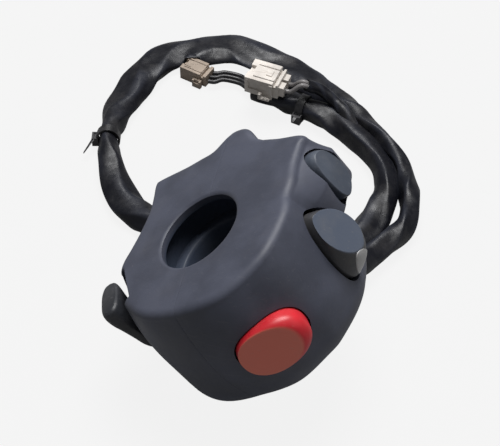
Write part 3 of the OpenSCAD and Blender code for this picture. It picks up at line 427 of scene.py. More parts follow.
# The harness: its route is the solids' to within about two millimetres, as a place on the
# table and the sleeve's width there
harness = dict(
    roundWidth=7.2, step=0.7, sides=56,
    lead=[(21.81, 24.77, -21.47), (25.2, 29.2, -23.8), (27, 33, -25.3)],
    loop=[
        (30.2, 37.8, 6.8), (34, 43.6, 6.2), (36, 51, 6.2), (34.2, 59.8, 6), (31.4, 68, 5.6),
        (25.4, 75.8, 5.6), (18.3, 82.6, 6.2), (10.6, 89.2, 8.2), (1.6, 94.6, 9.6), (-7.4, 100.2, 11.6),
        (-17.2, 104.8, 12), (-27.3, 107.2, 12), (-36.6, 103.9, 11.2), (-45.8, 100.2, 11.2), (-51, 92, 11),
        (-53.8, 82, 10.4), (-55.2, 71, 8.6), (-54.6, 61, 5.4), (-51.4, 52, 7.6), (-47.3, 44.3, 9.2),
        (-41.3, 37.5, 9.8), (-32.5, 32.8, 8.4), (-20, 30.6, 7.2), (-7, 30.2, 7.2), (6, 31, 7.2),
        (17.6, 34.4, 7.6), (23.4, 40.6, 8.8), (26.4, 48.1, 9.2), (28.3, 56, 7.2), (26.6, 65, 6.6),
        (21.6, 72, 6.6), (14.8, 78.2, 7.2), (9.7, 81.4, 7.8), (4.8, 83.7, 7.2), (-1.2, 85.5, 6.4),
        (-12.1, 88.4, 6.2), (-16.8, 90, 6.4)],
    foldDepth=0.3, foldTurn=0.05, creaseDepth=0.27, dentDepth=0.4, slackFrom=(4, 18), slackEnd=6,
    tieAt=((-1.2, 85.4), (-54.6, 61)), tieReach=4, tieHold=0.8, lift=0.02,
    flap=dict(near=(-35.6, 104), reach=5.5, out=0.1, over=(-36.2, 94.8), turned=-18,
              half=(4.8, 3.2), top=5.05, thick=0.5))


def flatHeight(width):
    return harness["roundWidth"] * np.minimum(1, harness["roundWidth"] / width)


# Axes along a path: its heading, a level sideways direction and the third, upward
def pathAxes(path):
    heading = np.gradient(path, axis=0)
    heading /= np.linalg.norm(heading, axis=1, keepdims=True)
    side = np.cross(heading, (0, 0, 1.0))
    side /= np.maximum(np.linalg.norm(side, axis=1, keepdims=True), 1e-6)
    return heading, side, np.cross(side, heading)


# Smooth waves with no repeat over the length, from sines of unrelated pitch
def wander(at, pitch, shift):
    return (np.sin(at / pitch + shift) + 0.7 * np.sin(at / pitch * 1.73 + 2.1 * shift)
            + 0.5 * np.sin(at / pitch * 2.61 + 3.7 * shift)) / 1.7


# How near the points of a path are to a place, falling off as a bell
def nearTo(path, place, reach):
    return np.exp(-(np.hypot(path[:, 0] - place[0], path[:, 1] - place[1]) / reach) ** 2)[:, None]


# Beside the beige connector the sleeve's inner edge spreads and lies on the connector's top
def overConnector(ring, path, side, around):
    flap = harness["flap"]
    spread = nearTo(path, flap["near"], flap["reach"]) * np.clip(-np.cos(around), 0, 1) ** 2
    ring = ring - flap["out"] * spread[..., None] * side[:, None]
    a = math.radians(flap["turned"])
    x, y = ring[..., 0] - flap["over"][0], ring[..., 1] - flap["over"][1]
    along, across = x * math.cos(a) + y * math.sin(a), y * math.cos(a) - x * math.sin(a)
    outside = np.maximum(np.abs(along) - flap["half"][0], np.abs(across) - flap["half"][1])
    top = flap["top"] + flap["thick"] / 2 * (1 + np.sin(around))
    ring[..., 2] = np.maximum(ring[..., 2], tableZ + top * smooth(1.0, 0.0, outside))
    return ring


# The sleeve: an oval ring along the route whose radius is pulled in along folds that
# wind slowly round it, with sharper creases and dents between, pitched in millimetres; the
# ties hold it flat and the table flattens its underside
def sleeveSurface():
    loop = np.array(harness["loop"])
    rows = np.column_stack([loop[:, 0], loop[:, 1], tableZ + flatHeight(loop[:, 2]) / 2, loop[:, 2]])
    lead = np.column_stack([harness["lead"], np.full(len(harness["lead"]), harness["roundWidth"])])
    route, at = evenPath(np.concatenate([lead, rows]), harness["step"])
    path, width = route[:, :3], route[:, 3]
    side, up = pathAxes(path)[1:]
    around = fullTurn(harness["sides"])[None, :]
    s = at[:, None]
    slack = smooth(*harness["slackFrom"], s) * smooth(0, harness["slackEnd"], at[-1] - s)
    for place in harness["tieAt"]:
        slack = slack * (1 - harness["tieHold"] * nearTo(path, place, harness["tieReach"]))
    folds = np.sin(3 * around + s * harness["foldTurn"] + 1.9 * wander(s, 13, 0.4))
    folds = folds * (0.65 + 0.35 * wander(s, 9, 1.9))
    creases = 1 - 2 * np.abs(np.sin(2 * around - 0.07 * s + 2.2 * wander(s, 11, 2.6)))
    dents = wander(s + 5 * np.cos(around - 0.7), 5.2, 0.9) * wander(s - 4 * np.sin(around), 7.1, 1.3)
    raised = slack * (harness["foldDepth"] * (folds - 0.3) + harness["creaseDepth"] * creases
                      + harness["dentDepth"] * dents)
    wide, high = width[:, None] / 2 + raised, flatHeight(width)[:, None] / 2 + raised
    ring = path[:, None] + (wide * np.cos(around))[..., None] * side[:, None]
    ring = ring + (high * np.sin(around))[..., None] * up[:, None]
    ring = overConnector(ring, path, side, around)
    ring[..., 2] = np.maximum(ring[..., 2], tableZ + harness["lift"])
    # Tone mask for painted light: high on raised folds for painted sheen, low in creases and dents for
    # painted shade
    foldSheenShade = np.clip(0.5 + 0.45 * (folds + 0.5 * creases + 0.4 * dents), 0, 1)
    return ring, foldSheenShade, path


def makeHarness():
    ring, foldSheenShade, path = sleeveSurface()
    sleeve = makePiece("harnessSleeve", (ring * mm, ringFaces(*ring.shape[:2])), "housing", "sleeve_vinyl",
                       ["harness_sleeve"], {"foldSheenShade": foldSheenShade}, 60)
    length = np.linalg.norm(np.diff(path, axis=0), axis=1).sum() * mm
    return sleeve, path, length


sleevePiece, sleevePath, sleeveLength = makeHarness()
print("harness sleeve, metres:", round(sleeveLength, 4))


# A round tube along a path
def tubeShape(points, radius, sides, step=0.5):
    path = evenPath(points, step)[0]
    side, up = pathAxes(path)[1:]
    t = fullTurn(sides)[None, :, None]
    ring = path[:, None] + radius * (np.cos(t) * side[:, None] + np.sin(t) * up[:, None])
    return ring, ringFaces(*ring.shape[:2])


# Housing: three outlines across the bar, lofted along it, with a lug on top.
# Each is a closed outline of given points, towards the rider by up; the bore's profile
# is depth from the grip end by radius, from the inner end out.
housing = dict(
    bore=11.15, groove=14.2, grooveTo=9.3, saddle=13.15, wall=2.4, endWall=2.2, mouth=0.5, lining=1.2,
    ridge=2.3, dish=0.3, endRound=8.0, length=38.0, seamDip=0.05, seamWidth=0.5,
    openMargin=1.5, openAbove=12,
    columns=190, faceSteps=26, arcSteps=8, sideSteps=84, bendSteps=22, backSteps=16,
    boreProfile=[(37.5, 11.15), (30, 11.15), (22, 11.15), (15, 11.15), (10.4, 11.15), (9.5, 11.4),
                 (9.3, 11.65), (9.2, 14.2), (7, 14.2), (4.6, 14.2), (2.5, 14.2), (2.3, 14.1), (2.2, 11.2),
                 (1.2, 11.2), (0.4, 11.2)],
    rim=[(25, 21.8), (23.2, 18.2), (21.9, 12), (23.9, 5.7), (26, 0.2), (25.4, -6), (22.8, -13.8),
         (17.9, -19.7), (11.7, -23.5), (3.9, -24.8), (-3.4, -24.2), (-10.7, -22.2), (-16.8, -18.2),
         (-20.8, -12.4), (-22.9, -6.2), (-23.2, -2.8), (-21.6, 1.6), (-20.5, 6.4), (-20.2, 12.9),
         (-21.2, 18.4), (-22.2, 23.4), (-20.9, 24.8), (-12.6, 26.4), (-6.7, 28.2), (0, 29.1), (8.6, 28.5),
         (12.6, 26.8), (18.2, 25.2), (23.8, 23.8)],
    belly=[(27, 2), (27.2, -6.5), (25.6, -13.6), (22.2, -18.6), (13.2, -26.4), (1, -28.6), (-9.6, -26.8),
           (-18.9, -20.6), (-23.4, -15.6), (-27.9, -7.4), (-29.2, 0), (-28.4, 6.8), (-25.4, 14),
           (-23.2, 19.4), (-22.4, 23.2), (-20.8, 24.4), (-12.6, 26.5), (0, 29), (10, 27.8), (17, 24),
           (22.6, 17.4), (25.8, 10)],
    shoulder=[(27.6, 7), (29, 10.5), (29.2, 15), (29.2, 20), (28.6, 23.4), (26.2, 25.2), (18, 25.8),
              (10, 26.8), (0, 20), (-15, 0), (0, -15), (20, -10), (25.4, 3)],
    swell=21.0, rake=8.5, rakePower=0.75, shoulderEnd=(16.6, 20.6),
    lugAngle=85.5, lugHeight=5.2, lugSpread=9.2, lugPower=2.6, lugEnd=(5.5, 10.5),
    drawIn=2.3, drawFrom=(20, 36), drawUpper=(5, -30), drawLower=(-125, -85))
rimAt = radiusByAngle(housing["rim"])
bellyAt = radiusByAngle(housing["belly"])
shoulderAt = radiusByAngle(housing["shoulder"])


# Outer radius by angle round the bar and depth from the grip end: the rim swells to the
# belly as a parabola, the shoulder comes in along its rake, the lug stands up, the lower
# side draws in and the inner end is round
def outerRadius(phi, depth):
    h = housing
    grow = 1 - (1 - np.clip(depth / h["swell"], 0, 1)) ** 2
    radius = rimAt(phi) * (1 - grow) + bellyAt(phi) * grow
    out = np.clip(depth / h["rake"], 0, 1) ** h["rakePower"] * (1 - smooth(*h["shoulderEnd"], depth))
    radius = radius + np.maximum(0, shoulderAt(phi) - radius) * out
    lug = np.exp(-np.abs((phi - h["lugAngle"]) / h["lugSpread"]) ** h["lugPower"])
    radius = radius + h["lugHeight"] * lug * (1 - smooth(*h["lugEnd"], depth))
    low = (phi + 180) % 360 - 180
    drawn = smooth(*h["drawUpper"], low) * smooth(*h["drawLower"], low)
    radius = radius - h["drawIn"] * smooth(*h["drawFrom"], depth) * drawn
    late = np.clip(depth - (h["length"] - h["endRound"]), 0, h["endRound"])
    return radius - h["endRound"] + np.sqrt(h["endRound"] ** 2 - late ** 2)


# Signed distance from points to a closed outline, and the nearest point on it
def toOutline(a, b, loop):
    nxt = np.roll(loop, -1, axis=0)
    span = nxt - loop
    q = np.stack([a, b], -1)[:, None, :]
    t = np.clip(((q - loop) * span).sum(-1) / (span ** 2).sum(-1), 0, 1)
    near = loop + t[..., None] * span
    gap = np.linalg.norm(q - near, axis=-1)
    best = gap.argmin(1)
    rows = np.arange(len(a))
    crosses = (loop[:, 1] > b[:, None]) != (nxt[:, 1] > b[:, None])
    at = loop[:, 0] + (b[:, None] - loop[:, 1]) / np.where(span[:, 1] == 0, 1e-9, span[:, 1]) * span[:, 0]
    inside = (crosses & (a[:, None] < at)).sum(1) % 2 == 1
    return np.where(inside, -1, 1) * gap[rows, best], near[rows, best]


def ovalLoop(length, width, power=2.0, count=96, centre=(0, 0)):
    t = fullTurn(count)
    c, s = np.cos(t), np.sin(t)
    return np.stack([centre[0] + length / 2 * np.sign(c) * np.abs(c) ** (2 / power),
                     centre[1] + width / 2 * np.sign(s) * np.abs(s) ** (2 / power)], -1)


def boxLoop(a0, a1, b0, b1, power=8.0):
    return ovalLoop(a1 - a0, b1 - b0, power, centre=((a0 + a1) / 2, (b0 + b1) / 2))


def loopThrough(points):
    return curveThrough(points, 10, closed=True)


# The controls, each across its own line out from the bar: outlines are round the bar by
# along it, heights are distances from the bar's axis
horn = dict(
    angle=-58, outline=ovalLoop(19.2, 14.8, 2.25, centre=(0.7, 0.2)), under=24.0, edge=29.2, crown=33.3,
    gap=0.35, blend=0.4, power=2.5, face=dict(at=(-2.2, 0.2), height=30.8, slopeA=0.2, slopeB=-0.02),
    middle=(0, -0.5), flange=(22, 17.8, 23.8, 25.0), stem=[(17.3, 2), (23.9, 2)])
turn = dict(
    angle=0, under=25.4, edge=27.7, gap=0.6, bulge=1.9,
    outline=loopThrough([
        (0.8, 12.6), (4.2, 11.4), (7.2, 7.8), (8.6, 2.6), (8.2, -3.2), (6.2, -8.2), (3.2, -10.9),
        (-0.4, -10.4), (-2.6, -7.6), (-3.8, -2.4), (-3.7, 3.2), (-2.2, 9.2)]),
    pad=loopThrough([
        (0.8, 11.3), (3.7, 10.4), (6.1, 7.6), (7.0, 3.8), (6.1, 0.2), (4.0, -2.0), (2.0, -2.6),
        (-0.1, -1.6), (-1.7, 0.6), (-2.5, 3.4), (-2.4, 6.5), (-1.2, 9.4)]),
    face=dict(at=(2.0, 4.0), height=30.9, slopeA=0.2, slopeB=-0.32),
    middle=(0, 3.5), stem=[(22.4, 2.2), (25.6, 2.2)])
rocker = dict(
    angle=0, under=23.4, edge=26.6, gap=0.65, bulge=2.2, shift=(0.5, 0),
    outline=loopThrough([
        (17.2, 16.4), (20.4, 15.2), (22.2, 12.4), (22.4, 7.4), (19.8, 2.8), (14.4, 1.2), (11.9, 3.4),
        (12.1, 8.6), (14.0, 14.2)]),
    pad=loopThrough([
        (17.8, 14.9), (20.3, 14.0), (21.6, 11.6), (21.7, 7.5), (19.7, 4.0), (15.7, 2.8), (13.8, 4.3),
        (13.9, 8.6), (15.3, 13.1)]),
    face=dict(at=(17.2, 9), height=29.1, slopeA=0.0, slopeB=-0.22))
passSlot = dict(angle=-152, outline=boxLoop(-5.6, 5.6, -0.2, 6.6))
scallop = dict(angle=-152, floor=22.1, half=6.2, start=6.0, edge=0.45, nearest=8)
outlet = dict(centre=(2.5, 20.4), radius=4.4, below=-10)
screwWells = dict(places=((19.0, -4.0), (-19.2, -14.6)), radius=3.2, tube=0.45, seat=-10.0, shank=2.1,
                  floor=2.5, sink=0.8, fit=0.05)


# Sinks points to the floor of the relief behind the passing lever's pad, with a soft edge
def sinkScallop(points, margin, floor):
    out, side = outwardAxes(scallop["angle"])[:2]
    t, height = points @ side, points @ out
    inside = np.minimum(scallop["half"] + margin - np.abs(t), points[..., 2] - scallop["start"] + margin)
    depth = smooth(0, scallop["edge"], np.where(height > scallop["nearest"], inside, -1))
    return points - (np.maximum(0, height - floor) * depth)[..., None] * out


# The ring of one cross-section as radius and depth, out from the bore over the end face,
# along the side, round the inner end and back through the bore; the cavity's ring beside
# it; and the first and last columns of the side, where openings may be
def housingSection(phi):
    h = housing
    ridge, end, wall, bend = h["ridge"], h["length"], h["wall"], h["endRound"]
    straight = end - bend
    phi = phi[:, None]
    faceU = np.linspace(0, 1, h["faceSteps"])[None, :]
    arcU = np.linspace(0, np.pi / 2, h["arcSteps"] + 1)[None, 1:]
    backU = np.linspace(0, 1, h["backSteps"])[None, :]
    bendU = np.linspace(0, np.pi / 2, h["bendSteps"])[1:-1]
    sideU = np.linspace(ridge, straight, h["sideSteps"])[1:]
    sideD = np.concatenate([sideU, straight + bend * np.sin(bendU)])[None, :]
    boreD, boreR = np.array(h["boreProfile"]).T[:, None, :]
    mouth, lining = h["bore"] + h["mouth"], h["groove"] + h["lining"]
    rimR = outerRadius(phi, np.full((1, 1), ridge))
    faceTo, inFaceTo = rimR - ridge, rimR - wall
    backFrom = outerRadius(phi, np.full((1, 1), end))
    outer = [
        (mouth + (faceTo - mouth) * faceU, h["dish"] * faceU ** 3),
        (faceTo + ridge * np.sin(arcU), h["dish"] + (ridge - h["dish"]) * (1 - np.cos(arcU))),
        (outerRadius(phi, sideD), sideD),
        (backFrom + (mouth - backFrom) * backU, end),
        (boreR, boreD)]
    inD = np.maximum(sideD, h["endWall"] + 0.1)
    inSide = outerRadius(phi, np.minimum(inD, straight)) - wall
    inBend = (bend - wall) * (1 - np.sqrt(1 - np.clip((inD - straight) / bend, 0, 1) ** 2))
    inBackFrom = outerRadius(phi, np.full((1, 1), straight)) - bend
    inner = [
        (lining + (inFaceTo - lining) * faceU, h["endWall"]),
        (inFaceTo, h["endWall"] + 0.02 * arcU),
        (inSide - inBend, np.minimum(inD, straight + (inD - straight) * (bend - wall) / bend)),
        (inBackFrom + (h["saddle"] - inBackFrom) * backU, end - wall),
        (np.where(boreD > h["grooveTo"], h["saddle"], lining),
         np.clip(boreD, h["endWall"] + 0.4, end - wall - 0.1))]

    def gathered(parts):
        wide = [np.broadcast_arrays(phi, *part)[1:] for part in parts]
        return [np.concatenate(values, 1) for values in zip(*wide)]
    first = h["faceSteps"] + h["arcSteps"]
    return gathered(outer), gathered(inner), (first, first + sideD.size + h["backSteps"] - 1)


# Places polar points of one half, with a fine groove where the two halves meet
def housingPoints(phi, r, d, dip):
    a = np.radians(phi)[:, None]
    toSeam = np.minimum(np.abs(phi + 90), np.minimum(np.abs(phi - 90), np.abs(phi - 270)))
    sink = dip * np.exp(-(toSeam * 0.45 / housing["seamWidth"] * 2) ** 2)[:, None]
    onFace = smooth(1.0, 0.0, d)
    r = r - sink * (1 - onFace) * (r > 13.5)
    d = d + sink * onFace
    return np.stack([r * np.cos(a), r * np.sin(a), gripEnd - d], -1)


# How far the points of a skin are outside an opening, and where on its outline they belong
farAway = 9.0


def toOpening(points, hole):
    out, side, along = outwardAxes(hole["angle"])
    ab, height = np.stack([points @ side, points[..., 2]], -1), points @ out
    loop, margin = hole["outline"], housing["openMargin"]
    low, high = loop.min(0) - margin, loop.max(0) + margin
    near = (height > housing["openAbove"]) & ((ab > low) & (ab < high)).all(-1)
    distance, target = np.full(points.shape[:2], farAway), ab.copy()
    distance[near], target[near] = toOutline(*ab[near].T, loop)
    return distance, target, side, along


# The sum of a value over the corners of each cell of a skin
def cellSum(values):
    column = values[:-1] + values[1:]
    return column + np.roll(column, -1, axis=1)


# Drops points back onto the outer skin, and into the relief where the half has it
def onSkin(points, relief):
    a = np.arctan2(points[:, 1], points[:, 0])
    radius = outerRadius(np.degrees(a), gripEnd - points[:, 2])
    points = np.stack([radius * np.cos(a), radius * np.sin(a), points[:, 2]], -1)
    return sinkScallop(points, 0, scallop["floor"]) if relief else points


# Cuts an opening through both skins: cells inside the outline go, and the corners beside
# them slide onto the outline; gives the cells that are gone
def cutOpening(outer, inner, hole, first, last, relief):
    rows, cols = outer.shape[:2]
    distance, target, side, along = toOpening(outer, hole)
    distance[:, :first] = farAway
    distance[:, last:] = farAway
    gone = cellSum(distance) < 0
    gone[:, :first] = False
    gone[:, last:] = False
    touch = np.zeros((rows, cols), int)
    for down in (0, 1):
        for across in (0, 1):
            touch[down:rows - 1 + down] += np.roll(gone, across, axis=1)
    edge = (touch > 0) & (touch < 4)
    edge[[0, -1]] = False

    def slide(points):
        step = target[edge] - np.stack([points @ side, points[:, 2]], -1)
        return points + step[:, :1] * side + step[:, 1:] * along
    moved = slide(outer[edge])
    outer[edge] = moved if hole.get("flat") else onSkin(moved, relief)
    inner[edge] = slide(inner[edge])
    return gone


# One half: two skins less their openings, walls between them along the openings and the
# seam, and the front half's screw wells
def makeHalf(name, phi, node, holes):
    h = housing
    relief = node == "front_half"
    (outR, outD), (inR, inD), (first, last) = housingSection(phi)
    outer = housingPoints(phi, outR, outD, h["seamDip"])
    inner = housingPoints(phi, inR, inD, 0)
    if relief:
        outer = sinkScallop(outer, 0, scallop["floor"])
        inner = sinkScallop(inner, h["wall"], scallop["floor"] - h["wall"])
    rows, cols = outer.shape[:2]
    opened = np.zeros((rows - 1, cols), bool)
    for hole in holes:
        opened |= cutOpening(outer, inner, hole, first, last, relief)
    fromOutlet = np.linalg.norm(outer[..., :2] - outlet["centre"], axis=-1) - outlet["radius"]
    fromOutlet[outer[..., 2] >= outlet["below"]] = farAway
    fromOutlet[:, last + 1:] = farAway
    opened |= cellSum(fromOutlet) < 0
    skin = rows * cols
    outQuads = gridFaces(rows, cols, closeCols=True)
    faces = outQuads[~opened].tolist() + (outQuads[..., ::-1] + skin)[~opened].tolist()
    padded = np.pad(opened, ((1, 1), (0, 0)), constant_values=True)
    i, j = np.nonzero(padded[:-1] != padded[1:])
    edges = [(i * cols + j, i * cols + (j + 1) % cols)]
    i, j = np.nonzero(opened != np.roll(opened, 1, axis=1))
    edges.append((i * cols + j, (i + 1) * cols + j))
    for a, b in edges:
        faces += np.stack([a, b, b + skin, a + skin], -1).tolist()
    shape = (np.concatenate([outer.reshape(-1, 3), inner.reshape(-1, 3)]), faces)
    if relief:
        shape = joined([shape] + [screwWell(place) for place in screwWells["places"]])
    # Marks the bore's points for the darker tone, painted shade inside the bore
    column = np.arange(cols)
    bored = np.tile((column >= cols - len(h["boreProfile"])) & (column < cols - 2), 2 * rows)
    inside = np.pad(bored.astype(float), (0, len(shape[0]) - len(bored)))
    return makePiece(name, (toRow(shape[0]), shape[1]), "housing", "housing_plastic", [node],
                     {"inside": inside}, 42)


# Where the front skin lies over a place up and along the bar: x by repeated correction
def frontSkin(y, z):
    x = np.full_like(y, -20.0)
    for _ in range(8):
        radius = outerRadius(np.degrees(np.arctan2(y, x)) % 360, gripEnd - z)
        x = -np.sqrt(np.maximum(radius ** 2 - y ** 2, 1))
    return x


# A sunk tube for a screw head: a ring profile turned about the screw's line
def screwWell(place):
    w = screwWells
    inside, outside, seat = w["radius"] - w["fit"], w["radius"] + w["tube"], w["seat"] - 0.1
    r = np.array([outside, inside, inside, w["shank"], w["shank"], outside])
    t = fullTurn(40)[:, None]
    up, along = place[0] + r * np.cos(t), place[1] + r * np.sin(t)
    x = np.tile(np.array([0, 0, seat, seat, seat + w["floor"], seat + w["floor"]]), (40, 1))
    x[:, :2] = frontSkin(up[:, :2], along[:, :2]) + w["sink"]
    return np.stack([x, up, along], -1), gridList(40, len(r), True, True)


# Angles of one half, closer together beside the seam
def halfAngles(start, end):
    fine = np.array([0.05, 0.35, 0.7, 1.1, 1.6])
    even = np.linspace(start + 2.2, end - 2.2, housing["columns"])
    return np.concatenate([start + fine, even, (end - fine)[::-1]])


def roundHole(radius, centre, angle):
    return dict(angle=angle, outline=ovalLoop(2 * radius, 2 * radius, centre=centre), flat=True)


wells = [roundHole(screwWells["radius"], (-place[0], place[1]), 180) for place in screwWells["places"]]
makeHalf("housingRear", halfAngles(-90, 90), "rear_half", [horn, turn, rocker])
makeHalf("housingFront", halfAngles(90, 270), "front_half", [passSlot] + wells)
print("housing halves done")


# The middle of a cap, its shift in its opening and its size beside that opening's
def capMiddle(part):
    loop = part["outline"]
    span = (loop.max(0) - loop.min(0)) / 2
    shift = np.array(part.get("shift", (0, 0)))
    return (loop.max(0) + loop.min(0)) / 2, shift, 1 - part["gap"] / span.min()


def planeOver(plane, ab):
    return (plane["height"] + plane["slopeA"] * (ab[..., 0] - plane["at"][0])
            + plane["slopeB"] * (ab[..., 1] - plane["at"][1]))


# The horn's top: a rounded dome cut by the plane of the thumb face
def domeRings(part, steps):
    loop = part["outline"]
    mid, shift, shrink = capMiddle(part)
    rho = np.sin(np.linspace(np.pi / 2, 0.02, steps))[:, None]
    ab = mid + shift + (loop - mid)[None] * (rho * shrink)[..., None]
    plane = planeOver(part["face"], ab)
    dome = (1 - rho ** part["power"]) ** (1 / part["power"]) + 0 * plane
    dome = part["edge"] + (part["crown"] - part["edge"]) * dome
    return ab, softLow(dome, plane, part["blend"]), smooth(-0.35, 0.35, dome - plane)


# The wall of a cap with a pad: from the cap's edge in to the pad's, swelling as a power of
# the way in; share runs from 0 at the edge to 1 at the pad
def wallAt(part, share, edge, pad):
    ab = edge * (1 - share)[..., None] + pad * share[..., None]
    top = planeOver(part["face"], pad)
    return ab, part["edge"] + (top - part["edge"]) * (1 - (1 - share) ** part["bulge"])


def edgeAndPad(part):
    mid, shift, shrink = capMiddle(part)
    return mid + shift + (part["outline"] - mid) * shrink, part["pad"]


# The knob's and the rocker's top: that wall, then the flat pad in to its middle
def padRings(part, steps):
    edge, pad = edgeAndPad(part)
    share = np.linspace(0, 1, steps)[:, None] + 0 * edge[:, 0]
    wall, wallHeight = wallAt(part, share, edge[None], pad[None])
    inward = np.linspace(0.97, 0.02, 14)[:, None, None]
    flat = pad.mean(0) + (pad - pad.mean(0)) * inward
    ab = np.concatenate([wall, flat])
    height = np.concatenate([wallHeight, planeOver(part["face"], flat)])
    # The last part marks the pad, which the knob's finish paints lighter as painted light on its lit top
    return ab, height, np.concatenate([smooth(0.9, 1.0, share), np.ones(flat.shape[:2])])


# A cap: its top's rings from the edge to the middle, with a skirt down into the opening
def capShape(part, steps=34, skirt=8):
    loop = part["outline"]
    ab, height, onFace = padRings(part, steps) if "pad" in part else domeRings(part, steps)
    down = np.linspace(0, 1, skirt, endpoint=False)[:, None] + 0 * loop[:, 0]
    skirtAb = np.broadcast_to(ab[0], (skirt, *ab[0].shape))
    skirtH = part["under"] + (height[0] - part["under"]) * down
    ab = np.concatenate([skirtAb, ab])
    height = np.concatenate([skirtH, height])
    onFace = np.concatenate([np.zeros_like(skirtH), onFace])
    out, side, along = outwardAxes(part["angle"])
    points = height[..., None] * out + ab[..., :1] * side + ab[..., 1:] * along
    return points, onFace


def makeCap(name, part, body, slot, nodes, inside=()):
    points, onFace = capShape(part)
    shapes = [(points, ringFaces(*points.shape[:2]))] + list(inside)
    whole, faces = joined(shapes)
    marks = np.concatenate([onFace.ravel(), np.zeros(len(whole) - onFace.size)])
    return makePiece(name, (toRow(whole), faces), body, slot, nodes, {"face": marks}, 50)


# A turned solid on a line out from the bar: radii at distances from the bar's axis
def turnedShape(angle, centre, stations, count=40):
    out, side, along = outwardAxes(angle)
    h, r = np.array(stations).T
    t = fullTurn(count)[None, :, None]
    across = np.cos(t) * side + np.sin(t) * along
    points = h[:, None, None] * out + r[:, None, None] * across + centre[0] * side + centre[1] * along
    return points, ringFaces(len(h), count)


def ovalPlate(angle, centre, length, width, low, high):
    loop = ovalLoop(length, width, 2.25, 64, centre)
    out, side, along = outwardAxes(angle)
    flat = loop[:, :1] * side + loop[:, 1:] * along
    rows = np.array([low, low + 0.15, high - 0.15, high])
    shrink = np.array([0.985, 1, 1, 0.985])
    mid = centre[0] * side + centre[1] * along
    points = rows[:, None, None] * out + mid + shrink[:, None, None] * (flat - mid)
    return points, ringFaces(4, 64)


makeCap("hornButton", horn, "horn", "horn_red", ["horn_button"], [
    ovalPlate(horn["angle"], horn["middle"], *horn["flange"]),
    turnedShape(horn["angle"], horn["middle"], horn["stem"])])
makeCap("turnKnob", turn, "turn_knob", "knob_grey", ["turn_knob"], [
    turnedShape(turn["angle"], turn["middle"], turn["stem"])])
makeCap("dimmerRocker", rocker, "dimmer", "rocker_grey", ["dimmer_rocker"])

# Springs under the horn and the knob: a wire wound about the line out from the bar; each
# gives its joint and the share that is kept
coils = [
    dict(name="hornSpring", node="horn_spring", body="housing", joint="horn_press", control=horn,
         low=18.05, high=23.15, radius=3.2, wire=0.35, turns=4, keep=0.47),
    dict(name="cancelSpring", node="turn_cancel_spring", body="turn_lever", joint="turn_push", control=turn,
         low=23.25, high=24.75, radius=3.0, wire=0.25, turns=1.75, keep=0.35),
]


def makeCoil(coil):
    share = np.linspace(0, 1, int(coil["turns"] * 16) + 1)
    a = 2 * np.pi * coil["turns"] * share
    rise = coil["low"] + coil["wire"] + (coil["high"] - coil["low"] - 2 * coil["wire"]) * share
    helix = np.stack([coil["radius"] * np.cos(a), coil["radius"] * np.sin(a), rise], -1)
    local, faces = tubeShape(helix, coil["wire"], 10, 0.3)
    out, side, along = outwardAxes(coil["control"]["angle"])
    centre = coil["control"]["middle"][1]
    points = local[..., 2:] * out + local[..., :1] * side + (local[..., 1:2] + centre) * along
    piece = makePiece(coil["name"], (toRow(points), faces), coil["body"], "spring_steel", [coil["node"]],
                      sharp=60)
    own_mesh(piece)


for coil in coils:
    makeCoil(coil)
print("controls done")


# Passing lever: rounded sections along the bar, from its pivot out through the slot to
# the finger pad; each has its place along the bar, its middle and half size outward and round
# the bar, a skew and a power for its squareness
lever = dict(
    angle=-152, pivot=(22.5, -7.5), hub=3.0, pin=1.56, bevel=0.2, width=(-4.8, 1.5),
    sections=[
        (-4.6, 22.5, 1.4, 0, 4.75, 0, 6), (-1.8, 24.0, 1.4, 0, 4.75, 0, 6),
        (0.6, 26.2, 1.4, 0, 4.75, 0, 5), (3.2, 27.6, 1.5, 0, 4.75, 0.02, 4.5),
        (7.0, 28.1, 1.7, 0, 4.8, 0.06, 4), (10.6, 28.5, 2.0, 0, 4.9, 0.1, 3.6),
        (13.2, 28.7, 2.4, -0.1, 5.3, 0.12, 3.2), (15.4, 28.7, 2.7, -0.3, 5.6, 0.12, 3.0),
        (16.9, 28.6, 2.6, -0.4, 5.5, 0.12, 2.9), (17.6, 28.5, 2.0, -0.4, 4.9, 0.12, 2.8)])


# Sections as ovals between round and square, with the skew lifting one side outward
def makeLever():
    out, side, along = outwardAxes(lever["angle"])
    rows = curveThrough(lever["sections"], 7)
    t = fullTurn(72)[None, :]
    z, hMid, hHalf, tMid, tHalf, skew, power = (rows[:, k:k + 1] for k in range(7))
    c, s = np.cos(t), np.sin(t)
    across = tMid + tHalf * np.sign(c) * np.abs(c) ** (2 / power)
    height = hMid + hHalf * np.sign(s) * np.abs(s) ** (2 / power) + skew * across
    arm = height[..., None] * out + across[..., None] * side + z[..., None] * along + 0 * t[..., None]
    h0, z0 = lever["pivot"]
    a = fullTurn(48)[:, None]
    pin, hubR, bevel = lever["pin"], lever["hub"], lever["bevel"]
    r = np.array([pin, hubR - bevel, hubR, hubR, hubR - bevel, pin])
    low, high = lever["width"]
    w = np.array([low, low, low + bevel, high - bevel, high, high])
    hub = ((h0 + r * np.cos(a))[..., None] * out + (w + 0 * a)[..., None] * side
           + (z0 + r * np.sin(a))[..., None] * along)
    shapes = [(arm, ringFaces(*arm.shape[:2])), (hub, gridList(48, 6, True, True))]
    points, faces = joined(shapes)
    makePiece("passLever", (toRow(points), faces), "pass_lever", "lever_black", ["pass_lever"], sharp=45)


makeLever()
print("passing lever done")


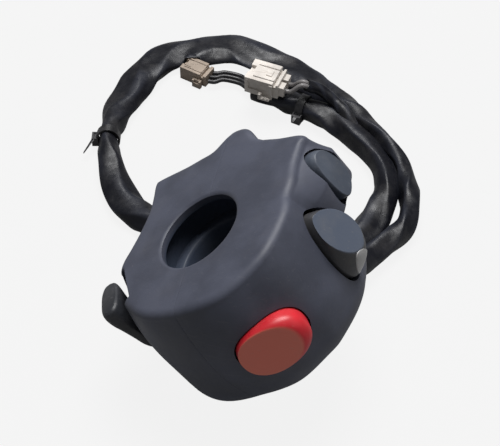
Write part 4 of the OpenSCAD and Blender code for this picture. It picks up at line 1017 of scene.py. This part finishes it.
# Moulded blocks: boxes added or taken away in turn on the lattice of all their planes;
# a face stands wherever a filled cell meets an empty one
def blockShape(boxes):
    data = np.array([box[1:] for box in boxes], float)
    planes = [np.unique(data[:, [2 * k, 2 * k + 1]].round(4)) for k in range(3)]
    mids = [(p[1:] + p[:-1]) / 2 for p in planes]
    x, y, z = np.meshgrid(*mids, indexing="ij")
    full = np.zeros(x.shape, bool)
    for add, x0, x1, y0, y1, z0, z1 in boxes:
        full[(x > x0) & (x < x1) & (y > y0) & (y < y1) & (z > z0) & (z < z1)] = add
    full = np.pad(full, 1)
    counts = np.array([len(p) for p in planes])
    index = np.arange(counts.prod()).reshape(counts)
    points = np.stack(np.meshgrid(*planes, indexing="ij"), -1).reshape(-1, 3)
    quads = []
    for axis in range(3):
        low = np.take(full, range(full.shape[axis] - 1), axis)
        high = np.take(full, range(1, full.shape[axis]), axis)
        cut = tuple(slice(None) if k == axis else slice(1, -1) for k in range(3))
        i, j, k = np.nonzero((low != high)[cut])
        step = [np.eye(3, dtype=int)[m] for m in range(3) if m != axis]
        base = np.stack([i, j, k], -1)
        corners = [base, base + step[0], base + step[0] + step[1], base + step[1]]
        quads.append(np.stack([index[tuple(c.T)] for c in corners], -1))
    quads = np.concatenate(quads)
    used, quads = np.unique(quads, return_inverse=True)
    return points[used], quads.reshape(-1, 4).tolist()


# Points turned about the vertical, in degrees, and moved to a place
def placed(points, at, turned):
    c, s = math.cos(math.radians(turned)), math.sin(math.radians(turned))
    x, y, z = points.T
    return np.stack([x * c - y * s, x * s + y * c, z], -1) + at


def soften(piece, width, segments=2):
    bevel = piece.modifiers.new("softEdges", "BEVEL")
    bevel.width = width * mm
    bevel.segments = segments
    bevel.limit_method = "ANGLE"
    bevel.angle_limit = math.radians(40)
    bevel.harden_normals = True


# White connector, mating face towards -x: body with two cavities, key slot, ribs, a
# stepped tail and a collar for each lead; beside it its latch
whitePlug = dict(
    at=(-12.4, 87.6, tableZ + 10.7), turned=-10, edge=0.22,
    boxes=[
        (True, -6, 2.8, -4.2, 4.2, -3, 3),
        (False, -6.1, 2, -3.3, -0.75, -1.3, 1.3), (False, -6.1, 2, 0.75, 3.3, -1.3, 1.3),
        (False, -6.1, -4.4, -1.5, 1.5, 1.9, 3.1),
        (True, -3.8, 2.8, -2.9, -2.2, 3, 3.35), (True, -3.8, 2.8, 2.2, 2.9, 3, 3.35),
        (True, -0.4, 1.4, -1.2, 1.2, 3, 3.3), (True, 1.8, 2.8, -4.6, 4.6, -3, 2.4),
        (True, 2.8, 4.4, -3.8, 3.8, -2.6, 2.6), (False, 2.9, 3.7, -3.9, 3.9, 1.7, 2.7),
        (True, 4.4, 6, -3.2, -0.5, -1.9, 1.5), (True, 4.4, 6, 0.5, 3.2, -1.9, 1.5),
        (False, -4.9, -1.2, -4.3, -3.8, -1.2, 1.2), (True, -5.4, -4.9, -4.4, -4.2, -2.4, 2.4)],
    latch=[
        (True, -1.2, 2.4, -5.8, -4.62, -3, -2.3), (True, -1.2, -0.3, -5.8, -4.62, -3, -0.9),
        (True, 0.5, 1.0, -5.8, -5.2, -2.3, -1.8), (True, 1.5, 2.0, -5.8, -5.2, -2.3, -1.8)])
beigeSocket = dict(
    at=(-36.2, 94.8, tableZ + 2.4), turned=-18, edge=0.2,
    boxes=[
        (True, -4.5, 2.6, -2.9, 2.9, -2.4, 2.4),
        (False, -4.6, 1.5, -2.5, -0.6, -1.1, 1.1), (False, -4.6, 1.5, 0.6, 2.5, -1.1, 1.1),
        (True, -3.4, 2.6, -2.0, -1.5, 2.4, 2.65), (True, -3.4, 2.6, 1.5, 2.0, 2.4, 2.65),
        (False, -4.6, -3.5, -1.0, 1.0, 1.5, 2.5),
        (True, 2.6, 4.5, -2.6, 2.6, -2.1, 2.0), (False, 2.8, 3.5, -2.7, 2.7, 1.2, 2.1),
        (True, 0.5, 3.4, -4.1, -2.9, -2.4, 0.4), (False, 1.1, 2.8, -4.2, -3.6, -0.6, 0.5)])


def makeBlock(name, boxes, spec, slot, node):
    points, faces = blockShape(boxes)
    points = placed(points, spec["at"], spec["turned"]) * mm
    piece = makePiece(name, (points, faces), "housing", slot, [node], sharp=30)
    soften(piece, spec["edge"])
    return piece


whitePiece = makeBlock("whiteConnector", whitePlug["boxes"], whitePlug, "connector_white", "white_connector")
latchPiece = makeBlock("whiteLatch", whitePlug["latch"], whitePlug, "connector_white", "white_latch")
beigePiece = makeBlock("beigeConnector", beigeSocket["boxes"], beigeSocket, "connector_beige",
                       "beige_connector")

# Leads: from the sleeve's cut end to the beige connector, from the branch sleeve to the
# white one, and inside the housing from each switch to the outlet
leads = dict(radius=0.7, end=sleevePath[-1])


def leadTubes(name, paths, slot, node, leaning=False):
    points, faces = joined([tubeShape(path, leads["radius"], 12) for path in paths])
    points = toRow(points) if leaning else points * mm
    return makePiece(name, (points, faces), "housing", slot, [node], sharp=60)


def endLeads():
    a = math.radians(beigeSocket["turned"])
    tail = np.array(beigeSocket["at"]) + 4.5 * np.array([math.cos(a), math.sin(a), 0])
    end = leads["end"]
    return [np.array([
        end + (0, 1.5 * k, 0), end + (-2.6, 1.8 + 1.2 * k, -0.8), (-22.6, 94.6 + 1.5 * k, tableZ + 2.1),
        (-27.6, 94.8 + 1.6 * k, tableZ + 2.4), tail + (2, 1.9 * k + 0.2, 0), tail + (0, 1.9 * k, 0)])
        for k in (-1, 0, 1)]


branch = dict(
    radius=1.8, inside=1.4, mouth=3.0, step=0.5, sides=32,
    route=[(-0.7, 86.6, tableZ + 12.2), (0.9, 87.2, tableZ + 11.2), (3.6, 87.6, tableZ + 10),
           (8.2, 86, tableZ + 7.6), (12, 83, tableZ + 6.6), (15.4, 79.8, tableZ + 5)])


def branchLeads():
    a = math.radians(whitePlug["turned"])
    tail = np.array(whitePlug["at"]) + 6 * np.array([math.cos(a), math.sin(a), 0])
    mouth = np.array(branch["route"][0])
    return [np.array([
        tail + (-0.4, 1.6 * k, -0.6), tail + (1.6, 1.4 * k - 0.3, -0.4),
        mouth + (-1.3, 0.8 * k - 0.4, 0.7), mouth + (1.5, 0.6 * k + 0.5, -0.9)]) for k in (-1, 1)]


# Points round the bar at the given angles
def roundBar(angles, radius, z):
    a = np.radians(angles)
    return np.stack([radius * np.cos(a), radius * np.sin(a), np.full(len(a), z)], -1)


# Each runs from its switch, round the bar in its lane, to the place before the outlet
def innerLeads():
    lane, backZ, gather = 16.45, -13.55, np.array([2.5, 20.4, -15.6])
    runs = [
        ([*roundBar([-58], 16.3, -8.6), *roundBar([-58], 16.3, -10.6)],
         roundBar(np.arange(-50, 71, 12), lane, backZ), (1.2, -1.4, 1.6)),
        ([(18.9, 1.5, -4.7), (18.9, 1.6, -7.6)],
         roundBar(np.arange(10, 59, 12), lane + 3.5, backZ + 1.5), (2.4, 0.8, 1.8)),
        ([*roundBar([-152], 16, -4.2), *roundBar([-152], 16, -6.5), *roundBar([-152], 16, -9.5)],
         roundBar(np.arange(-162, -265, -12), lane, backZ), (-1.6, -0.4, 1.6))]
    return [np.concatenate([start, around, [gather + last, gather + last * np.array([1, 1, 0])]])
            for start, around, last in runs]


endPiece = leadTubes("endLeads", endLeads(), "wire_black", "end_wires")
branchLeadPiece = leadTubes("branchLeads", branchLeads(), "wire_grey", "branch_wires")
leadTubes("innerLeads", innerLeads(), "wire_black", "inner_wires", leaning=True)


# Branch sleeve: a thin open tube; its rings run from inside the mouth out over the lip
# and along to where it lies down on the harness, where it narrows
def makeBranch():
    path, at = evenPath(branch["route"], branch["step"])
    side, up = pathAxes(path)[1:]
    inward = int(branch["mouth"] / branch["step"])
    order = np.concatenate([np.arange(inward, -1, -1), np.arange(len(path))])
    outside = branch["radius"] + 0.16 * wander(at, 1.9, 0.5) * smooth(0.5, 3, at)
    outside = outside - 0.35 * smooth(at[-1] - 4, at[-1], at)
    size = np.concatenate([np.full(inward + 1, branch["inside"]), outside])[:, None, None]
    t = fullTurn(branch["sides"])[None, :, None]
    ring = path[order][:, None] + size * (np.cos(t) * side[order][:, None] + np.sin(t) * up[order][:, None])
    # The same mask: painted sheen along the folds, and inside the mouth the darkest tone as painted shade
    foldSheenShade = np.clip(0.5 + 0.4 * np.sin(3 * t[..., 0] + at[order][:, None]), 0, 1)
    foldSheenShade[:inward] = 0
    return makePiece("branchSleeve", (ring * mm, ringFaces(*ring.shape[:2])), "housing", "sleeve_vinyl",
                     ["branch_sleeve"], {"foldSheenShade": foldSheenShade}, 60)


branchPiece = makeBranch()

# Ties: a flat strap round the sleeve, a square head and a cut tail; each has its place, the
# sleeve's width there, the side its head is on and where its tail goes
tie = dict(
    width=2.4, thick=0.6, slack=0.12, sides=60, edge=0.12, headHalf=1.4, headDeep=1.9, headUp=(-2.3, 0.9),
    slotHalf=1.0, slotAt=(0.6, 1.3), slotUp=(0.5, 1.0), tailHalf=0.8, tailAt=(0.7, 1.2), tailUp=0.7,
    tailRows=7, taper=0.6, droop=(0, 0.8, -1.2),
    places=((-1.2, 85.4, 6.3, 1, (0, 1.8, 0.9)), (-54.6, 61.0, 5.6, -1, (-5.2, 2.2, -0.6))))


# The strap is a rectangle carried round the sleeve's oval, held down at the table
def tieShape(x, y, wide, hand, tailTo):
    near = np.hypot(sleevePath[:, 0] - x, sleevePath[:, 1] - y).argmin()
    heading, side, up = (axes[near] for axes in pathAxes(sleevePath))
    high = float(flatHeight(wide))
    centre = sleevePath[near]
    t = fullTurn(tie["sides"])[:, None, None]
    section = np.array([(-1, 0), (-1, 1), (1, 1), (1, 0)])
    out = tie["slack"] + tie["thick"] * section[:, 1][None, :, None]
    ring = (centre + (wide / 2 + out) * np.cos(t) * side + (high / 2 + out) * np.sin(t) * up
            + section[:, 0][None, :, None] * tie["width"] / 2 * heading)
    ring[..., 2] = np.maximum(ring[..., 2], tableZ + 0.05 + 0.5 * section[:, 1])
    a = math.degrees(math.atan2(*(hand * heading[[1, 0]])))
    edge = wide / 2 + tie["slack"]
    (slotLow, slotHigh), (tailLow, tailHigh), half = tie["slotAt"], tie["tailAt"], tie["tailHalf"]
    headPoints, headFaces = blockShape([
        (True, -tie["headHalf"], tie["headHalf"], edge, edge + tie["headDeep"], *tie["headUp"]),
        (False, -tie["slotHalf"], tie["slotHalf"], edge + slotLow, edge + slotHigh, *tie["slotUp"])])
    corners = ((-half, tailLow), (half, tailLow), (half, tailHigh), (-half, tailHigh))
    tail = np.array([(across, edge + deep, tie["tailUp"]) for across, deep in corners])
    rows = np.linspace(0, 1, tie["tailRows"])[:, None, None]
    middle = tail.mean(0)
    narrowed = middle + (tail - middle) * (1 - tie["taper"] * rows)
    tailPoints = narrowed + rows * tailTo + rows ** 2 * tie["droop"]
    return [(ring, gridList(tie["sides"], 4, True, True)),
            (placed(headPoints, centre, a), headFaces),
            (placed(tailPoints.reshape(-1, 3), centre, a), ringFaces(tie["tailRows"], 4))]


def makeTies():
    points, faces = joined([shape for place in tie["places"] for shape in tieShape(*place)])
    piece = makePiece("cableTies", (points * mm, faces), "housing", "tie_black", ["cable_ties"], sharp=30)
    soften(piece, tie["edge"], 1)
    return piece


tiePiece = makeTies()

# Rubber elbow: a collar on the housing, a ribbed bend and a plain nose over the sleeve; the
# collar's profile is distance out from the housing's end by radius
elbow = dict(
    at=(2.5, 20.4, -19.0), side=60, turn=45, bend=10.0, collar=2.0, nose=3.0, tube=4.3, ribs=5,
    ribHeight=0.45, ribRoot=0.25, lip=0.3, inside=3.62, returned=2.0,
    profile=[(-3.4, 4.3), (0, 4.3), (0, 4.95), (0.25, 5.2), (1.75, 5.2), (2.0, 4.9)])


def makeElbow():
    a, t = math.radians(elbow["side"]), np.radians(np.linspace(0, elbow["turn"], 40))[:, None]
    aside, down = np.array([math.cos(a), math.sin(a), 0]), np.array([0, 0, -1.0])
    start = np.array(elbow["at"]) + elbow["collar"] * down
    arc = start + elbow["bend"] * ((1 - np.cos(t)) * aside + np.sin(t) * down)
    last = math.sin(t[-1, 0]) * aside + math.cos(t[-1, 0]) * down
    nose = arc[-1] + np.linspace(0.3, elbow["nose"], 8)[:, None] * last
    drop, collarSize = np.array(elbow["profile"]).T
    base = np.array(elbow["at"]) + drop[:, None] * down
    inward = [nose[-1] + 0.001 * last, nose[-1] - elbow["returned"] * last]
    path = np.concatenate([base, arc[1:], nose, inward])
    u = np.linspace(0, 1, 39)
    tube, inside = elbow["tube"], elbow["inside"]
    ribs = tube + elbow["ribHeight"] * np.abs(np.sin(np.pi * elbow["ribs"] * u)) - elbow["ribRoot"]
    size = np.concatenate([collarSize, ribs, np.full(7, tube + elbow["lip"]), [tube, inside, inside]])
    heading = np.gradient(path[:-2], axis=0)
    heading = np.concatenate([heading, heading[-1:], heading[-1:]])
    heading[:len(drop)] = down
    heading /= np.linalg.norm(heading, axis=1, keepdims=True)
    level = np.cross(aside, down)
    across = np.cross(heading, level)
    turnRing = fullTurn(48)[None, :, None]
    spoke = np.cos(turnRing) * level + np.sin(turnRing) * across[:, None]
    ring = path[:, None] + size[:, None, None] * spoke
    return makePiece("cableElbow", (toRow(ring), ringFaces(*ring.shape[:2])), "housing", "elbow_rubber",
                     ["cable_elbow"], sharp=50)


makeElbow()
print("harness pieces done")


# The pale marker is a leaf on the knob's wall at its inner end: a grid round the knob and up
# the wall, its half width the root of a parabola, lifted a little
marker = dict(around=(0.478, 0.622), up=(0.03, 0.97), lift=0.22, thick=0.55)


def makeMarker():
    u = np.linspace(0, 1, 33)[:, None]
    v = np.linspace(-1, 1, 13)[None, :]
    low, high = marker["around"]
    half = np.sqrt(np.clip(1 - (2 * u - 1) ** 2, 0, 1)) + 0.03
    around = ((low + high) / 2 + (high - low) / 2 * half * v) * len(turn["outline"])
    share = marker["up"][0] + (marker["up"][1] - marker["up"][0]) * u + 0 * v
    count = np.arange(len(turn["outline"]))
    edge, pad = (np.stack([np.interp(around, count, loop[:, k]) for k in (0, 1)], -1)
                 for loop in edgeAndPad(turn))
    ab, height = wallAt(turn, share, edge, pad)
    out, side, along = outwardAxes(turn["angle"])

    def layer(lift):
        return (height + lift)[..., None] * out + ab[..., :1] * side + (ab[..., 1:] - 0.5 * lift) * along
    top, under = layer(marker["lift"]), layer(marker["lift"] - marker["thick"])
    rows, cols = top.shape[:2]
    skin = rows * cols
    rim = np.concatenate([np.arange(cols), np.arange(1, rows) * cols + cols - 1,
                          skin - 2 - np.arange(cols - 1), np.arange(rows - 2, 0, -1) * cols])
    ahead = np.roll(rim, -1)
    faces = gridList(rows, cols) + gridList(rows, cols, start=skin)
    faces += np.stack([rim, ahead, ahead + skin, rim + skin], -1).tolist()
    points = np.concatenate([top.reshape(-1, 3), under.reshape(-1, 3)])
    return makePiece("turnMarker", (toRow(points), faces), "turn_knob", "marker_white", ["turn_marker"],
                     sharp=50)


makeMarker()
print("marker done")

# Floor, world and lamps
stage = dict(size=3.0, floor=(0.26, 0.26, 0.26), show=0.87, world=0.12, gloss=0.08)


# Where the eye looks at the backdrop, straight or through something clear, and in part
# where a gloss shows it
def seenDirectly(tree):
    path = tree.nodes.new("ShaderNodeLightPath")
    straight = math2(tree, "MAXIMUM", path.outputs["Is Camera Ray"], path.outputs["Is Transmission Ray"])
    glossy = math2(tree, "MULTIPLY", path.outputs["Is Glossy Ray"], stage["gloss"])
    return math2(tree, "MAXIMUM", straight, glossy)


def makeStage():
    half = stage["size"] / 2
    mesh = bpy.data.meshes.new("floor")
    mesh.from_pydata([(-half, -half, tableZ * mm), (half, -half, tableZ * mm), (half, half, tableZ * mm),
                      (-half, half, tableZ * mm)], [], [(0, 1, 2, 3)])
    floor = bpy.data.objects.new("floor", mesh)
    bpy.context.scene.collection.objects.link(floor)
    material, tree, shader = startMaterial("floorPaper", Roughness=0.9, Specular_IOR_Level=0.1)[:3]
    shader.inputs["Base Color"].default_value = (*stage["floor"], 1)
    glow = addNode(tree, "ShaderNodeEmission", Color=(1, 1, 1, 1), Strength=1.0)
    seen = math2(tree, "MULTIPLY", seenDirectly(tree), stage["show"])
    mix = addNode(tree, "ShaderNodeMixShader", i0=seen, i1=shader.outputs[0], i2=glow.outputs[0])
    tree.links.new(mix.outputs[0], tree.nodes["Material Output"].inputs["Surface"])
    mesh.materials.append(material)
    world = bpy.data.worlds.new("studio")
    bpy.context.scene.world = world
    world.use_nodes = True
    tree = world.node_tree
    level = addNode(tree, "ShaderNodeMapRange", i0=seenDirectly(tree), i3=stage["world"], i4=1.0)
    back = tree.nodes["Background"]
    back.inputs["Color"].default_value = (1, 1, 1, 1)
    tree.links.new(level.outputs[0], back.inputs["Strength"])


lamps = [
    dict(name="windowKey", place=(-0.04, 0.34, 0.84), aim=(0, 0.03, 0), size=0.5, power=10.3),
    dict(name="sideFill", place=(0.65, -0.05, 0.5), aim=(0, 0, 0), size=0.5, power=0.5),
]


def makeLamps():
    for lamp in lamps:
        data = bpy.data.lights.new(lamp["name"], "AREA")
        data.size = lamp["size"]
        data.energy = lamp["power"]
        away = unit(np.array(lamp["place"]) - lamp["aim"])
        side = unit(np.cross((0, 0, 1.0), away))
        lampObject = bpy.data.objects.new(lamp["name"], data)
        standAt(lampObject, lamp["place"], (side, np.cross(away, side), away))


makeStage()
makeLamps()
bpy.context.scene.view_settings.view_transform = "Standard"
